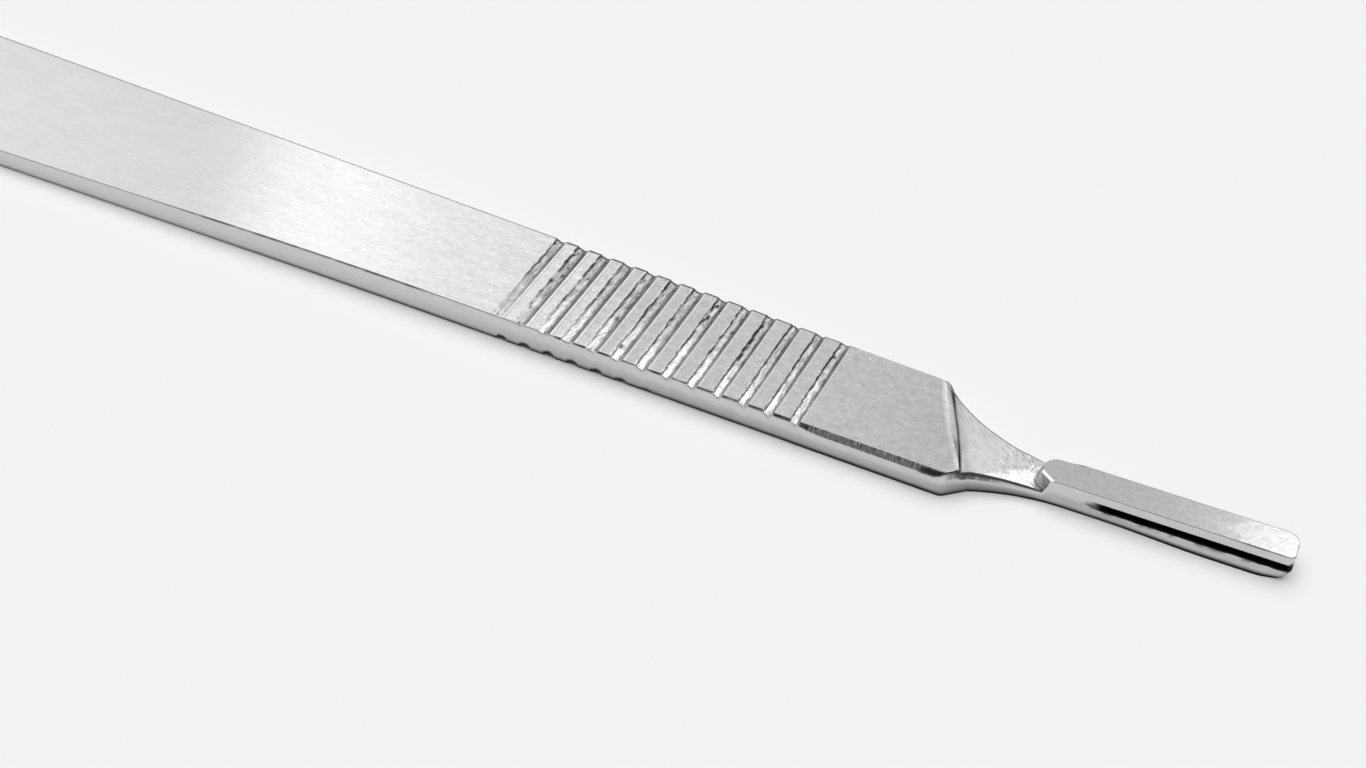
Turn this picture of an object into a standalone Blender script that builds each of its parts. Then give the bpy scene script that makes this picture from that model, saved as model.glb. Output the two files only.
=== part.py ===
"""Flat scalpel handle for a small detachable blade, milled from one bar of steel.

The blade end points to +X and the rear end to -X. The underside lies on z = 0, and the
origin is at the middle of the underside. +Y is the side towards which the nose leans.

The bar is lofted along its length, because it gets wider and thinner towards the rear.
Cutters then take away what a mill takes from the real one: the grip grooves of both
faces, the waste round the neck and nose, the ramp that the blade's tail lies on, and the
two slots that the blade's edges slide in.
"""

import math

import bmesh
import bpy
import numpy as np
from mathutils import Matrix

MM = 0.001
COLLECTION_NAME = "scalpel_handle"
CUTTER_COLLECTION_NAME = "cutters"

# Bar
LENGTH = 125.0 * MM
THICKNESS = 2.14 * MM
SHOULDER_WIDTH = 8.25 * MM
GRIP_FLARE = 0.0168
EDGE_BREAK = 0.08 * MM

# Tail, where each side flares more and the top face falls away
TAIL_START = 44.7 * MM
TAIL_BLEND = 16.0 * MM
TAIL_FLARE = 0.0160
TAIL_THINNING = 0.0170
TAIL_ROUNDING = 6.2 * MM

# Steep flats along the four long edges, next to the shoulder
FLANK_LENGTH = 17.2 * MM
FLANK_FADE = 5.5 * MM
FLANK_INSET = 0.14 * MM
FLANK_DROP = 0.52 * MM

# Grip grooves. The underside has the same row, moved a little towards the blade end
GROOVE_COUNT = 13
GROOVE_PITCH = 1.85 * MM
GROOVE_RADIUS = 0.52 * MM
GROOVE_FIRST_DEPTH = 0.07 * MM
GROOVE_LAST_DEPTH = 0.40 * MM
GROOVE_SETBACK = 9.36 * MM
GROOVE_SHIFT_BELOW = 0.35 * MM

# Shoulder and neck
SHOULDER_SLANT = math.radians(27.0)
SHOULDER_STEP = 0.26 * MM
SHOULDER_SLOPE = 0.30 * MM
NECK_LENGTH = 6.35 * MM
NECK_FAR_RADIUS = 8.6 * MM
NECK_FAR_HALF_WIDTH = 1.73 * MM
NECK_FAR_TANGENT = 1.27 * MM
NECK_NEAR_RADIUS = 15.5 * MM
NECK_NEAR_TANGENT = 2.05 * MM

# Nose, the boss that the blade clips over
NOSE_LENGTH = 16.45 * MM
NOSE_WIDTH = 2.21 * MM
NOSE_YAW = math.radians(2.64)
NOSE_CROSSING = 9.5 * MM
TIP_FAR_RADIUS = 0.92 * MM
TIP_NEAR_RADIUS = 0.40 * MM
TIP_UNDERCUT_HEIGHT = 0.72 * MM
TIP_UNDERCUT_LENGTH = 0.62 * MM
BOSS_FAR_RADIUS = 1.00 * MM
BOSS_NEAR_RADIUS = 0.40 * MM
BOSS_CUT_LENGTH = 0.90 * MM
BOSS_CUT_ANGLE = math.radians(36.0)
BOSS_SIDE_TAPER = math.radians(2.0)
BOSS_DRAFT = 0.27 * MM
BOSS_BEVEL_WIDTH = 0.15 * MM
BOSS_BEVEL_DROP = 0.13 * MM

# Blade slots in the sides of the nose
SLOT_FLOOR = 0.78 * MM
SLOT_HEIGHT = 0.65 * MM
SLOT_DEPTH = 0.50 * MM
SLOT_RUNOUT_RADIUS = 3.1 * MM
SLOT_START = 3.2 * MM
RAMP_ABOVE_SLOT = 0.10 * MM

# How far cutters reach past what they cut, and how finely curves are stepped
OVERSHOOT = 1.0 * MM
TAIL_STEPS = 16
BLEND_STEPS = 8
ARC_STEPS = 14
CORNER_STEPS = 8
GROOVE_SIDES = 28
MERGE_DISTANCE = 0.001 * MM

# Colour of the brushed stainless steel
STEEL_COLOUR = (0.62, 0.62, 0.63, 1.0)
STEEL_ROUGHNESS = 0.34

# Places that follow from the sizes above
NOSE_HALF = NOSE_WIDTH / 2
REAR_X = -LENGTH / 2
TIP_X = LENGTH / 2
PIVOT_X = (TIP_X - NOSE_CROSSING * math.cos(NOSE_YAW)
           - (NOSE_HALF - TIP_NEAR_RADIUS) * math.sin(NOSE_YAW))
BOSS_REAR = NOSE_CROSSING - NOSE_LENGTH
BOSS_REAR_X = PIVOT_X + BOSS_REAR * math.cos(NOSE_YAW)
BOSS_REAR_Y = BOSS_REAR * math.sin(NOSE_YAW)
SHOULDER_X = BOSS_REAR_X - NECK_LENGTH
TAIL_X = SHOULDER_X - TAIL_START
FLANK_X = SHOULDER_X - FLANK_LENGTH
LAST_GROOVE_X = SHOULDER_X - GROOVE_SETBACK
NOSE_FRAME = Matrix.Translation((PIVOT_X, 0, 0)) @ Matrix.Rotation(NOSE_YAW, 4, "Z")


def clear_scene():
    """Take away whatever the file holds, so that the handle stands alone."""
    for item in list(bpy.data.objects):
        bpy.data.objects.remove(item, do_unlink=True)


def new_collection(name):
    """Return an empty collection that is linked to the scene."""
    collection = bpy.data.collections.new(name)
    bpy.context.scene.collection.children.link(collection)
    return collection


def steel():
    """Return the brushed steel that the whole handle is made of."""
    material = bpy.data.materials.new("brushed_steel")
    material.use_nodes = True
    shader = material.node_tree.nodes["Principled BSDF"]
    shader.inputs["Base Color"].default_value = STEEL_COLOUR
    shader.inputs["Metallic"].default_value = 1.0
    shader.inputs["Roughness"].default_value = STEEL_ROUGHNESS
    return material


def arc(centre, radius, start, end, steps):
    """Return the points of an arc from one angle to another, in radians."""
    angles = np.linspace(start, end, steps + 1)
    return np.column_stack((centre[0] + radius * np.cos(angles),
                            centre[1] + radius * np.sin(angles)))


def in_handle(points):
    """Turn points along and across the nose into x and y of the handle."""
    turn = np.array(NOSE_FRAME.to_2x2())
    return np.asarray(points) @ turn.T + (PIVOT_X, 0)


def object_from_bmesh(shape, name, collection):
    """Close a bmesh's seams, face it outwards and link it as an object."""
    bmesh.ops.remove_doubles(shape, verts=shape.verts, dist=MERGE_DISTANCE)
    bmesh.ops.recalc_face_normals(shape, faces=shape.faces)
    mesh = bpy.data.meshes.new(name)
    shape.to_mesh(mesh)
    shape.free()
    item = bpy.data.objects.new(name, mesh)
    collection.objects.link(item)
    return item


def loft(name, rings, collection, first_cap=True):
    """Skin a row of rings, which have the same number of points, and close its ends."""
    shape = bmesh.new()
    rows = [[shape.verts.new(point) for point in ring] for ring in rings]
    for row, following in zip(rows, rows[1:]):
        for index, corner in enumerate(row):
            shape.faces.new((corner, row[index - 1], following[index - 1], following[index]))
    if first_cap:
        shape.faces.new(rows[0])
    shape.faces.new(reversed(rows[-1]))
    return object_from_bmesh(shape, name, collection)


def plate(name, outline, low, high, collection):
    """Extrude an outline, drawn along and across the nose, between two heights."""
    curve = bpy.data.curves.new(name, "CURVE")
    curve.dimensions = "2D"
    curve.fill_mode = "BOTH"
    curve.extrude = (high - low) / 2
    spline = curve.splines.new("POLY")
    spline.points.add(len(outline) - 1)
    for point, (along, across) in zip(spline.points, outline):
        point.co = (along, across, 0, 1)
    spline.use_cyclic_u = True
    drawn = bpy.data.objects.new(name, curve)
    collection.objects.link(drawn)
    drawn.matrix_world = NOSE_FRAME @ Matrix.Translation((0, 0, (low + high) / 2))
    bpy.context.view_layer.update()
    graph = bpy.context.evaluated_depsgraph_get()
    shape = bmesh.new()
    filled = bpy.data.meshes.new_from_object(drawn.evaluated_get(graph))
    shape.from_mesh(filled)
    bpy.data.meshes.remove(filled)
    item = object_from_bmesh(shape, name, collection)
    item.matrix_world = drawn.matrix_world.copy()
    bpy.data.objects.remove(drawn, do_unlink=True)
    return item


def tail_growth(x):
    """How far the tail's flare and thinning have run at x, with a soft start.

    The growth is a parabola over the blend and a straight line behind it.
    """
    behind = TAIL_X + TAIL_BLEND / 2 - x
    soft = np.clip(behind, 0, TAIL_BLEND) ** 2 / (2 * TAIL_BLEND)
    return soft + np.maximum(behind - TAIL_BLEND, 0)


def side_y(x):
    """Half of the bar's width at x, before the rear end is rounded."""
    return SHOULDER_WIDTH / 2 + GRIP_FLARE * (SHOULDER_X - x) + TAIL_FLARE * tail_growth(x)


def top_z(x):
    """Height of the top face at x."""
    return THICKNESS - TAIL_THINNING * tail_growth(x)


def bar(collection):
    """Loft the bar from the rounded rear end to just past the nose's tip.

    Each ring has four points on either side: the two edges of the side wall, and the
    edges of the two faces, which lie inside it by the width of the broken edge.
    """
    turn = np.linspace(0, math.pi / 2, TAIL_STEPS + 1)
    rounding_x = REAR_X + TAIL_ROUNDING
    rounded_x = rounding_x - TAIL_ROUNDING * np.cos(turn)
    blend_x = np.linspace(TAIL_X - TAIL_BLEND / 2, TAIL_X + TAIL_BLEND / 2, BLEND_STEPS + 1)
    front_x = np.array([FLANK_X, FLANK_X + FLANK_FADE, SHOULDER_X, TIP_X + OVERSHOOT])
    x = np.concatenate((rounded_x, blend_x, front_x))
    narrowing = np.ones_like(x)
    narrowing[:len(turn)] = np.sin(turn)
    y = side_y(x) * narrowing
    z = top_z(x)

    slope = np.gradient(np.column_stack((x, y)), axis=0)
    slope /= np.linalg.norm(slope, axis=1)[:, None]
    outward_x, outward_y = -slope[:, 1], slope[:, 0]
    outward_x[0], outward_y[0] = -1, 0

    flank = np.clip((x - FLANK_X) / FLANK_FADE, 0, 1)
    inset = EDGE_BREAK + (FLANK_INSET - EDGE_BREAK) * flank
    drop = EDGE_BREAK + (FLANK_DROP - EDGE_BREAK) * flank
    face_x = x - inset * outward_x
    face_y = y - inset * outward_y
    bottom = np.zeros_like(x)
    far = [(face_x, face_y, z), (x, y, z - drop), (x, y, drop), (face_x, face_y, bottom)]
    near = [(along, -across, height) for along, across, height in reversed(far)]
    rings = np.array(far + near).transpose(2, 0, 1)
    return loft(COLLECTION_NAME, rings, collection, first_cap=False)


def groove_cutters(collection):
    """Round-nosed cuts across both faces, deeper towards the blade end."""
    reach = SHOULDER_WIDTH + 2 * GRIP_FLARE * LENGTH + 2 * OVERSHOOT
    shape = bmesh.new()
    for index in range(GROOVE_COUNT):
        share = index / max(GROOVE_COUNT - 1, 1)
        depth = GROOVE_FIRST_DEPTH + (GROOVE_LAST_DEPTH - GROOVE_FIRST_DEPTH) * share
        x = LAST_GROOVE_X - (GROOVE_COUNT - 1 - index) * GROOVE_PITCH
        above = (x, 0, top_z(x) + GROOVE_RADIUS - depth)
        below = (x + GROOVE_SHIFT_BELOW, 0, depth - GROOVE_RADIUS)
        for centre in (above, below):
            place = Matrix.Translation(centre) @ Matrix.Rotation(math.pi / 2, 4, "X")
            bmesh.ops.create_cone(shape, cap_ends=True, segments=GROOVE_SIDES,
                                  radius1=GROOVE_RADIUS, radius2=GROOVE_RADIUS,
                                  depth=reach, matrix=place)
    return object_from_bmesh(shape, "grip_grooves", collection)


def neck_and_nose_outline():
    """Outline of the neck and nose, from the far side round the tip to the near side.

    It is drawn along and across the nose. Each side of the neck is one concave arc. The
    near one runs straight into the nose, and the far one leaves a wider root behind it.
    """
    far_centre = (BOSS_REAR - NECK_FAR_TANGENT, NECK_FAR_HALF_WIDTH + NECK_FAR_RADIUS)
    near_centre = (BOSS_REAR + NECK_NEAR_TANGENT, -NOSE_HALF - NECK_NEAR_RADIUS)
    half_bar = SHOULDER_WIDTH / 2 + 2 * OVERSHOOT
    far_turn = math.acos((far_centre[1] - half_bar) / NECK_FAR_RADIUS)
    near_turn = math.acos((-near_centre[1] - half_bar) / NECK_NEAR_RADIUS)
    down, up = -math.pi / 2, math.pi / 2
    return np.vstack((
        arc(far_centre, NECK_FAR_RADIUS, down - far_turn, down, ARC_STEPS),
        ((slot_start(), NOSE_HALF),),
        arc((NOSE_CROSSING - TIP_FAR_RADIUS, NOSE_HALF - TIP_FAR_RADIUS),
            TIP_FAR_RADIUS, up, 0, CORNER_STEPS),
        arc((NOSE_CROSSING - TIP_NEAR_RADIUS, TIP_NEAR_RADIUS - NOSE_HALF),
            TIP_NEAR_RADIUS, 0, down, CORNER_STEPS),
        arc(near_centre, NECK_NEAR_RADIUS, up, up + near_turn, ARC_STEPS),
    ))


def slot_start():
    """Where the blade slots begin, along the nose."""
    return BOSS_REAR + SLOT_START


def waste_cutter(collection):
    """Everything beside the neck and nose and in front of the tip, in one plate."""
    outline = neck_and_nose_outline()
    aside = SHOULDER_WIDTH
    ahead = NOSE_CROSSING + 3 * OVERSHOOT
    frame = ((outline[-1, 0], -aside), (ahead, -aside), (ahead, aside), (outline[0, 0], aside))
    return plate("waste", np.vstack((outline, frame)), -OVERSHOOT, THICKNESS + OVERSHOOT,
                 collection)


def ramp_z(points):
    """Height of the ramp, which falls square to the shoulder down to the slots' level."""
    fall_line = np.array((math.cos(SHOULDER_SLANT), math.sin(SHOULDER_SLANT)))
    start = np.array((SHOULDER_X, 0))
    run = (np.array((BOSS_REAR_X, BOSS_REAR_Y)) - start) @ fall_line
    start_z = THICKNESS - SHOULDER_STEP
    fall = (start_z - SLOT_FLOOR - RAMP_ABOVE_SLOT) / run
    return start_z - fall * ((points - start) @ fall_line)


def boss_rear(offset):
    """Rear outline of the boss, grown by an offset, from the far side to the near side.

    The far corner is rounded. The near corner is cut off at an angle, and the line of
    that cut runs on past the side of the nose.
    """
    far_start = math.pi / 2 + BOSS_SIDE_TAPER
    cut_normal = math.pi * 1.5 - BOSS_CUT_ANGLE
    cut_point = np.array((BOSS_REAR + BOSS_CUT_LENGTH, -NOSE_HALF))
    normal = np.array((math.cos(cut_normal), math.sin(cut_normal)))
    near_along = BOSS_REAR + BOSS_NEAR_RADIUS
    near_across = ((normal @ cut_point - BOSS_NEAR_RADIUS - normal[0] * near_along)
                   / normal[1])
    far_centre = (BOSS_REAR + BOSS_FAR_RADIUS, NOSE_HALF - BOSS_FAR_RADIUS
                  - BOSS_SIDE_TAPER * (SLOT_START - BOSS_FAR_RADIUS))
    far_corner = arc(far_centre, BOSS_FAR_RADIUS + offset, far_start, math.pi, CORNER_STEPS)
    near_corner = arc((near_along, near_across), BOSS_NEAR_RADIUS + offset, math.pi,
                      cut_normal, CORNER_STEPS)
    side_line = np.array((math.cos(BOSS_SIDE_TAPER), math.sin(BOSS_SIDE_TAPER)))
    cut_line = np.array((math.cos(BOSS_CUT_ANGLE), -math.sin(BOSS_CUT_ANGLE)))
    far_end = far_corner[0] + side_line * (SLOT_START + OVERSHOOT / 2)
    near_end = near_corner[-1] + cut_line * NOSE_WIDTH
    return np.vstack((far_end, far_corner, near_corner, near_end))


def ramp_ring(offset, setback):
    """One ring of the ramp's cutter: the boss's rear, then round to the shoulder's line."""
    rear = in_handle(boss_rear(offset))
    aside = SHOULDER_WIDTH
    slant = math.tan(SHOULDER_SLANT)
    line_x = SHOULDER_X + setback / math.cos(SHOULDER_SLANT)
    around = ((rear[-1, 0], -aside), (line_x + aside * slant, -aside),
              (line_x - aside * slant, aside), (rear[0, 0], aside))
    return np.vstack((rear, around))


def ramp_cutter(collection):
    """Sink the neck below the top face, between the shoulder and the boss.

    The lowest ring lies on the ramp. The next one ends the drafted wall of the boss and
    the short slope of the shoulder, and the last one carries the boss's bevel upwards.
    """
    foot = ramp_ring(BOSS_DRAFT, SHOULDER_SLOPE)
    edge = ramp_ring(0, 0)
    rise = BOSS_BEVEL_DROP / 2
    bevel_run = BOSS_BEVEL_WIDTH * (1 + rise / BOSS_BEVEL_DROP)
    above = ramp_ring(-bevel_run, -SHOULDER_SLOPE * rise / SHOULDER_STEP)
    corners_of_shoulder = slice(-3, -1)
    edge_z = np.full(len(edge), THICKNESS - BOSS_BEVEL_DROP)
    edge_z[corners_of_shoulder] = THICKNESS
    heights = (ramp_z(foot), edge_z, np.full(len(above), THICKNESS + rise))
    rings = [np.column_stack((ring, z)) for ring, z in zip((foot, edge, above), heights)]
    return loft("ramp", rings, collection)


def slot_cutter(name, side, collection):
    """The slot along one side of the nose, which runs out in an arc at its rear end."""
    depth_line = NOSE_HALF - SLOT_DEPTH
    runout = math.sqrt(2 * SLOT_RUNOUT_RADIUS * SLOT_DEPTH - SLOT_DEPTH ** 2)
    centre = (slot_start() + runout, depth_line + SLOT_RUNOUT_RADIUS)
    ahead = NOSE_CROSSING + OVERSHOOT
    outline = np.vstack((
        arc(centre, SLOT_RUNOUT_RADIUS, math.pi, math.pi * 1.5, 2 * ARC_STEPS),
        ((ahead, depth_line), (ahead, centre[1])),
    ))
    outline[:, 1] *= side
    return plate(name, outline, SLOT_FLOOR, SLOT_FLOOR + SLOT_HEIGHT, collection)


def undercut_cutter(collection):
    """The slanted cut under the tip, which leaves the lower lip shorter."""
    size = 4 * NOSE_WIDTH
    tilt = math.atan2(TIP_UNDERCUT_LENGTH, TIP_UNDERCUT_HEIGHT)
    bpy.ops.mesh.primitive_cube_add(size=size)
    item = bpy.context.object
    item.name = "tip_undercut"
    corner = Matrix.Translation((NOSE_CROSSING - TIP_UNDERCUT_LENGTH, 0, 0))
    lean = Matrix.Rotation(tilt, 4, "Y")
    item.matrix_world = NOSE_FRAME @ corner @ lean @ Matrix.Translation((size / 2, 0, 0))
    for holder in list(item.users_collection):
        holder.objects.unlink(item)
    collection.objects.link(item)
    return item


def cut(target, cutter):
    """Take a cutter's shape out of the target, and keep the cutter as a guide only."""
    cutter.hide_render = True
    cutter.display_type = "WIRE"
    modifier = target.modifiers.new(cutter.name, "BOOLEAN")
    modifier.operation = "DIFFERENCE"
    modifier.solver = "EXACT"
    modifier.object = cutter


def build():
    """Make the handle and take every cutter out of it."""
    clear_scene()
    parts = new_collection(COLLECTION_NAME)
    cutters = new_collection(CUTTER_COLLECTION_NAME)
    handle = bar(parts)
    handle.data.materials.append(steel())
    cut(handle, waste_cutter(cutters))
    cut(handle, ramp_cutter(cutters))
    cut(handle, slot_cutter("far_slot", 1, cutters))
    cut(handle, slot_cutter("near_slot", -1, cutters))
    cut(handle, undercut_cutter(cutters))
    cut(handle, groove_cutters(cutters))


build()
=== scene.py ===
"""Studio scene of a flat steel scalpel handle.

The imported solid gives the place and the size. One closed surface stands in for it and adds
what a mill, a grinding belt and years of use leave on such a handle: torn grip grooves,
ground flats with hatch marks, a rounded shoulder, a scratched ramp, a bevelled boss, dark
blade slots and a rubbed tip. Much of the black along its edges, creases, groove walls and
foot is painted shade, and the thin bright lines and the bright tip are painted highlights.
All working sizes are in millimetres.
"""

import logging
import math
from abc import ABC, abstractmethod
from dataclasses import dataclass
from enum import IntEnum
from typing import ClassVar

import bmesh
import bpy
import numpy as np
from mathutils import Matrix, Vector


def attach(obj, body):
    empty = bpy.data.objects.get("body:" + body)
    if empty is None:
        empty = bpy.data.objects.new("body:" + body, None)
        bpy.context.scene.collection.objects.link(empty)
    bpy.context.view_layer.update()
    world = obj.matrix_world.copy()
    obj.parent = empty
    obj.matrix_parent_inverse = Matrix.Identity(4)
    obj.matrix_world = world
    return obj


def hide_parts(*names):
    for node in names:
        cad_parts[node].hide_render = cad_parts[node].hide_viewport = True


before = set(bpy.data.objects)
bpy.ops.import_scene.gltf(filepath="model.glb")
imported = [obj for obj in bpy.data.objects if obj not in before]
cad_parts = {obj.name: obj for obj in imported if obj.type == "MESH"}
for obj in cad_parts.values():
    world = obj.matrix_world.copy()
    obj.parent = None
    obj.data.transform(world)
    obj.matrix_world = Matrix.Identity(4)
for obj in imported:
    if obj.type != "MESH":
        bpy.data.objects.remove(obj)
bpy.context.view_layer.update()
NODE = "scalpel_handle"

MM = 0.001
HANDLE_LENGTH = 125.0
PHOTO_WIDTH = 1366
THICKNESS = 2.135
HIGHEST = 2.14
SHOULDER_X = 39.685
GRIP_END = 31.2
LOG = logging.getLogger("scalpel_handle_scene")
Array = np.ndarray
Socket = bpy.types.NodeSocket
Patch = dict[str, Array]


class Finish(IntEnum):
    """The finishes of the handle, in the order of its material slots."""

    BRUSHED = 0
    TORN = 1
    EDGE = 2
    MILLED = 3
    NOSE = 4


class Side(IntEnum):
    """The two long sides. The near one faces the camera."""

    NEAR = -1
    FAR = 1


def unit(value: Array) -> Array:
    """Keep values from 0 to 1."""
    return np.clip(value, 0.0, 1.0)


def within(value: Array, low: float, high: float) -> Array:
    """Whether each value lies between two limits."""
    return (value > low) & (value < high)


def bell(value: Array, centre: float | Array, width: float | Array) -> Array:
    """A bump of height 1, as exp of minus the squared distance over the squared width."""
    return np.exp(-(((value - centre) / width) ** 2))


def at_least(lowest: float, share: Array) -> Array:
    """Lift a share so that it runs from the lowest level to 1."""
    return lowest + (1.0 - lowest) * share


@dataclass(frozen=True)
class Fade:
    """A soft rise from 0 at the first value to 1 at the second, which may be the lower one."""

    start: float
    full: float

    def at(self, value: Array) -> Array:
        """The share risen at each value, as the cubic 3t^2 - 2t^3."""
        share = unit((value - self.start) / (self.full - self.start))
        return share * share * (3.0 - 2.0 * share)


@dataclass(frozen=True)
class Stretch:
    """A stretch of the handle that fades in and out again: the product of two fades."""

    start: float
    full: float
    ebb: float
    end: float

    def at(self, x: Array) -> Array:
        """The stretch's share at each place along the handle."""
        return Fade(self.start, self.full).at(x) * Fade(self.end, self.ebb).at(x)


@dataclass(frozen=True)
class Grain:
    """Smooth random relief: seeded values on a lattice, blended between its corners.

    Attributes:
        seed: Seed of the lattice's values.
        along: Lattice spacing along the handle.
        across: Lattice spacing across it.
        size: Lattice points each way before the pattern repeats.
    """

    seed: int
    along: float
    across: float
    size: int = 97

    def at(self, x: Array, y: Array) -> Array:
        """Blend the four lattice values round each place.

        Args:
            x: Place along the handle.
            y: Place across it.

        Returns:
            The relief at each place, from -1 to 1.
        """
        lattice = np.random.default_rng(self.seed).uniform(-1.0, 1.0, (self.size, self.size))
        cell_x, share_x = self._cell(x / self.along)
        cell_y, share_y = self._cell(y / self.across)
        rows = [lattice[cell_x, column] * (1 - share_x)
                + lattice[(cell_x + 1) % self.size, column] * share_x
                for column in (cell_y, (cell_y + 1) % self.size)]
        return rows[0] * (1 - share_y) + rows[1] * share_y

    def at_level(self, x: Array, level: float) -> Array:
        """The relief along one line of the pattern."""
        return self.at(x, np.full_like(x, level))

    def _cell(self, place: Array) -> tuple[Array, Array]:
        """Split places into lattice cells and softened shares of the way across them."""
        floor = np.floor(place)
        return floor.astype(int) % self.size, Fade(0.0, 1.0).at(place - floor)


@dataclass(frozen=True)
class Bar:
    """The flat bar between the rear end and the shoulder.

    Attributes:
        rear_x: Place of the rear end.
        shoulder_half: Half width at the shoulder.
        flare: Growth of the half width for each millimetre towards the rear.
        tail_start: Distance from the shoulder to the middle of the tail's blend.
        tail_blend: Length of that blend.
        tail_flare: Extra growth of the half width along the tail.
        tail_thinning: Loss of thickness along the tail.
        tail_rounding: Length of the rounded rear end.
        bluntness: Smallest squared share of the width at the rear end.
        edge_inset: Width of the broken top edge on the near side.
        far_edge_inset: Its width on the far side.
        edge_drop: Its height.
        foot_inset: How far the rounded foot draws in.
        foot_rise: Height of the rounded foot.
        flat_inset: Width of the steep flat beside the shoulder.
        flat_drop: Its height.
        flat_start: Where the flat begins.
        flat_full: Where its quick growth begins.
        flat_run: Length of the quick growth.
        flat_slow: Share of the flat that grows slowly before it.
        flat_least: Share of the flat where it begins.
        flat_fade: Length of its end.
        flat_ends: Place of its front end on each side.
    """

    rear_x: float = -62.5
    shoulder_half: float = 4.125
    flare: float = 0.0168
    tail_start: float = 44.7
    tail_blend: float = 16.0
    tail_flare: float = 0.0160
    tail_thinning: float = 0.0170
    tail_rounding: float = 6.2
    bluntness: float = 0.0004
    edge_inset: float = 0.10
    far_edge_inset: float = 0.19
    edge_drop: float = 0.10
    foot_inset: float = 0.085
    foot_rise: float = 0.26
    flat_inset: float = 0.14
    flat_drop: float = 0.50
    flat_start: float = 13.0
    flat_full: float = 29.7
    flat_run: float = 2.6
    flat_slow: float = 0.30
    flat_least: float = 0.06
    flat_fade: float = 0.7
    flat_ends: tuple[tuple[Side, float], ...] = ((Side.NEAR, 40.9), (Side.FAR, 38.0))

    def growth(self, x: Array) -> Array:
        """How far the tail's flare has run: a parabola over the blend, then a line."""
        behind = SHOULDER_X - self.tail_start + self.tail_blend / 2 - x
        return (np.clip(behind, 0.0, self.tail_blend) ** 2 / (2 * self.tail_blend)
                + np.maximum(behind - self.tail_blend, 0.0))

    def half_width(self, x: Array) -> Array:
        """Half of the bar's width: straight lines, and a quarter ellipse at the rear end.

        Args:
            x: Place along the handle.

        Returns:
            The half width at each place.
        """
        plain = (self.shoulder_half + self.flare * (SHOULDER_X - x)
                 + self.tail_flare * self.growth(x))
        into_end = unit((self.rear_x + self.tail_rounding - x) / self.tail_rounding)
        return plain * np.sqrt(np.maximum(1.0 - into_end ** 2, self.bluntness))

    def top(self, x: Array) -> Array:
        """Height of the top face: even, and falling along the tail."""
        return THICKNESS - self.tail_thinning * self.growth(x)

    def flat_share(self, x: Array, side: Side) -> Array:
        """How fully the steep flat beside the shoulder is cut: slowly, then in a short run.

        Args:
            x: Place along the handle.
            side: Which side.

        Returns:
            The share at each place, from 0 to 1.
        """
        last = dict(self.flat_ends)[side]
        slow = unit((x - self.flat_start) / (self.flat_full - self.flat_start))
        quick = Fade(self.flat_full, self.flat_full + self.flat_run).at(x)
        cut = at_least(self.flat_least, self.flat_slow * slow + (1 - self.flat_slow) * quick)
        return cut * (x > self.flat_start) * (1.0 - Fade(last - self.flat_fade, last).at(x))


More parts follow.
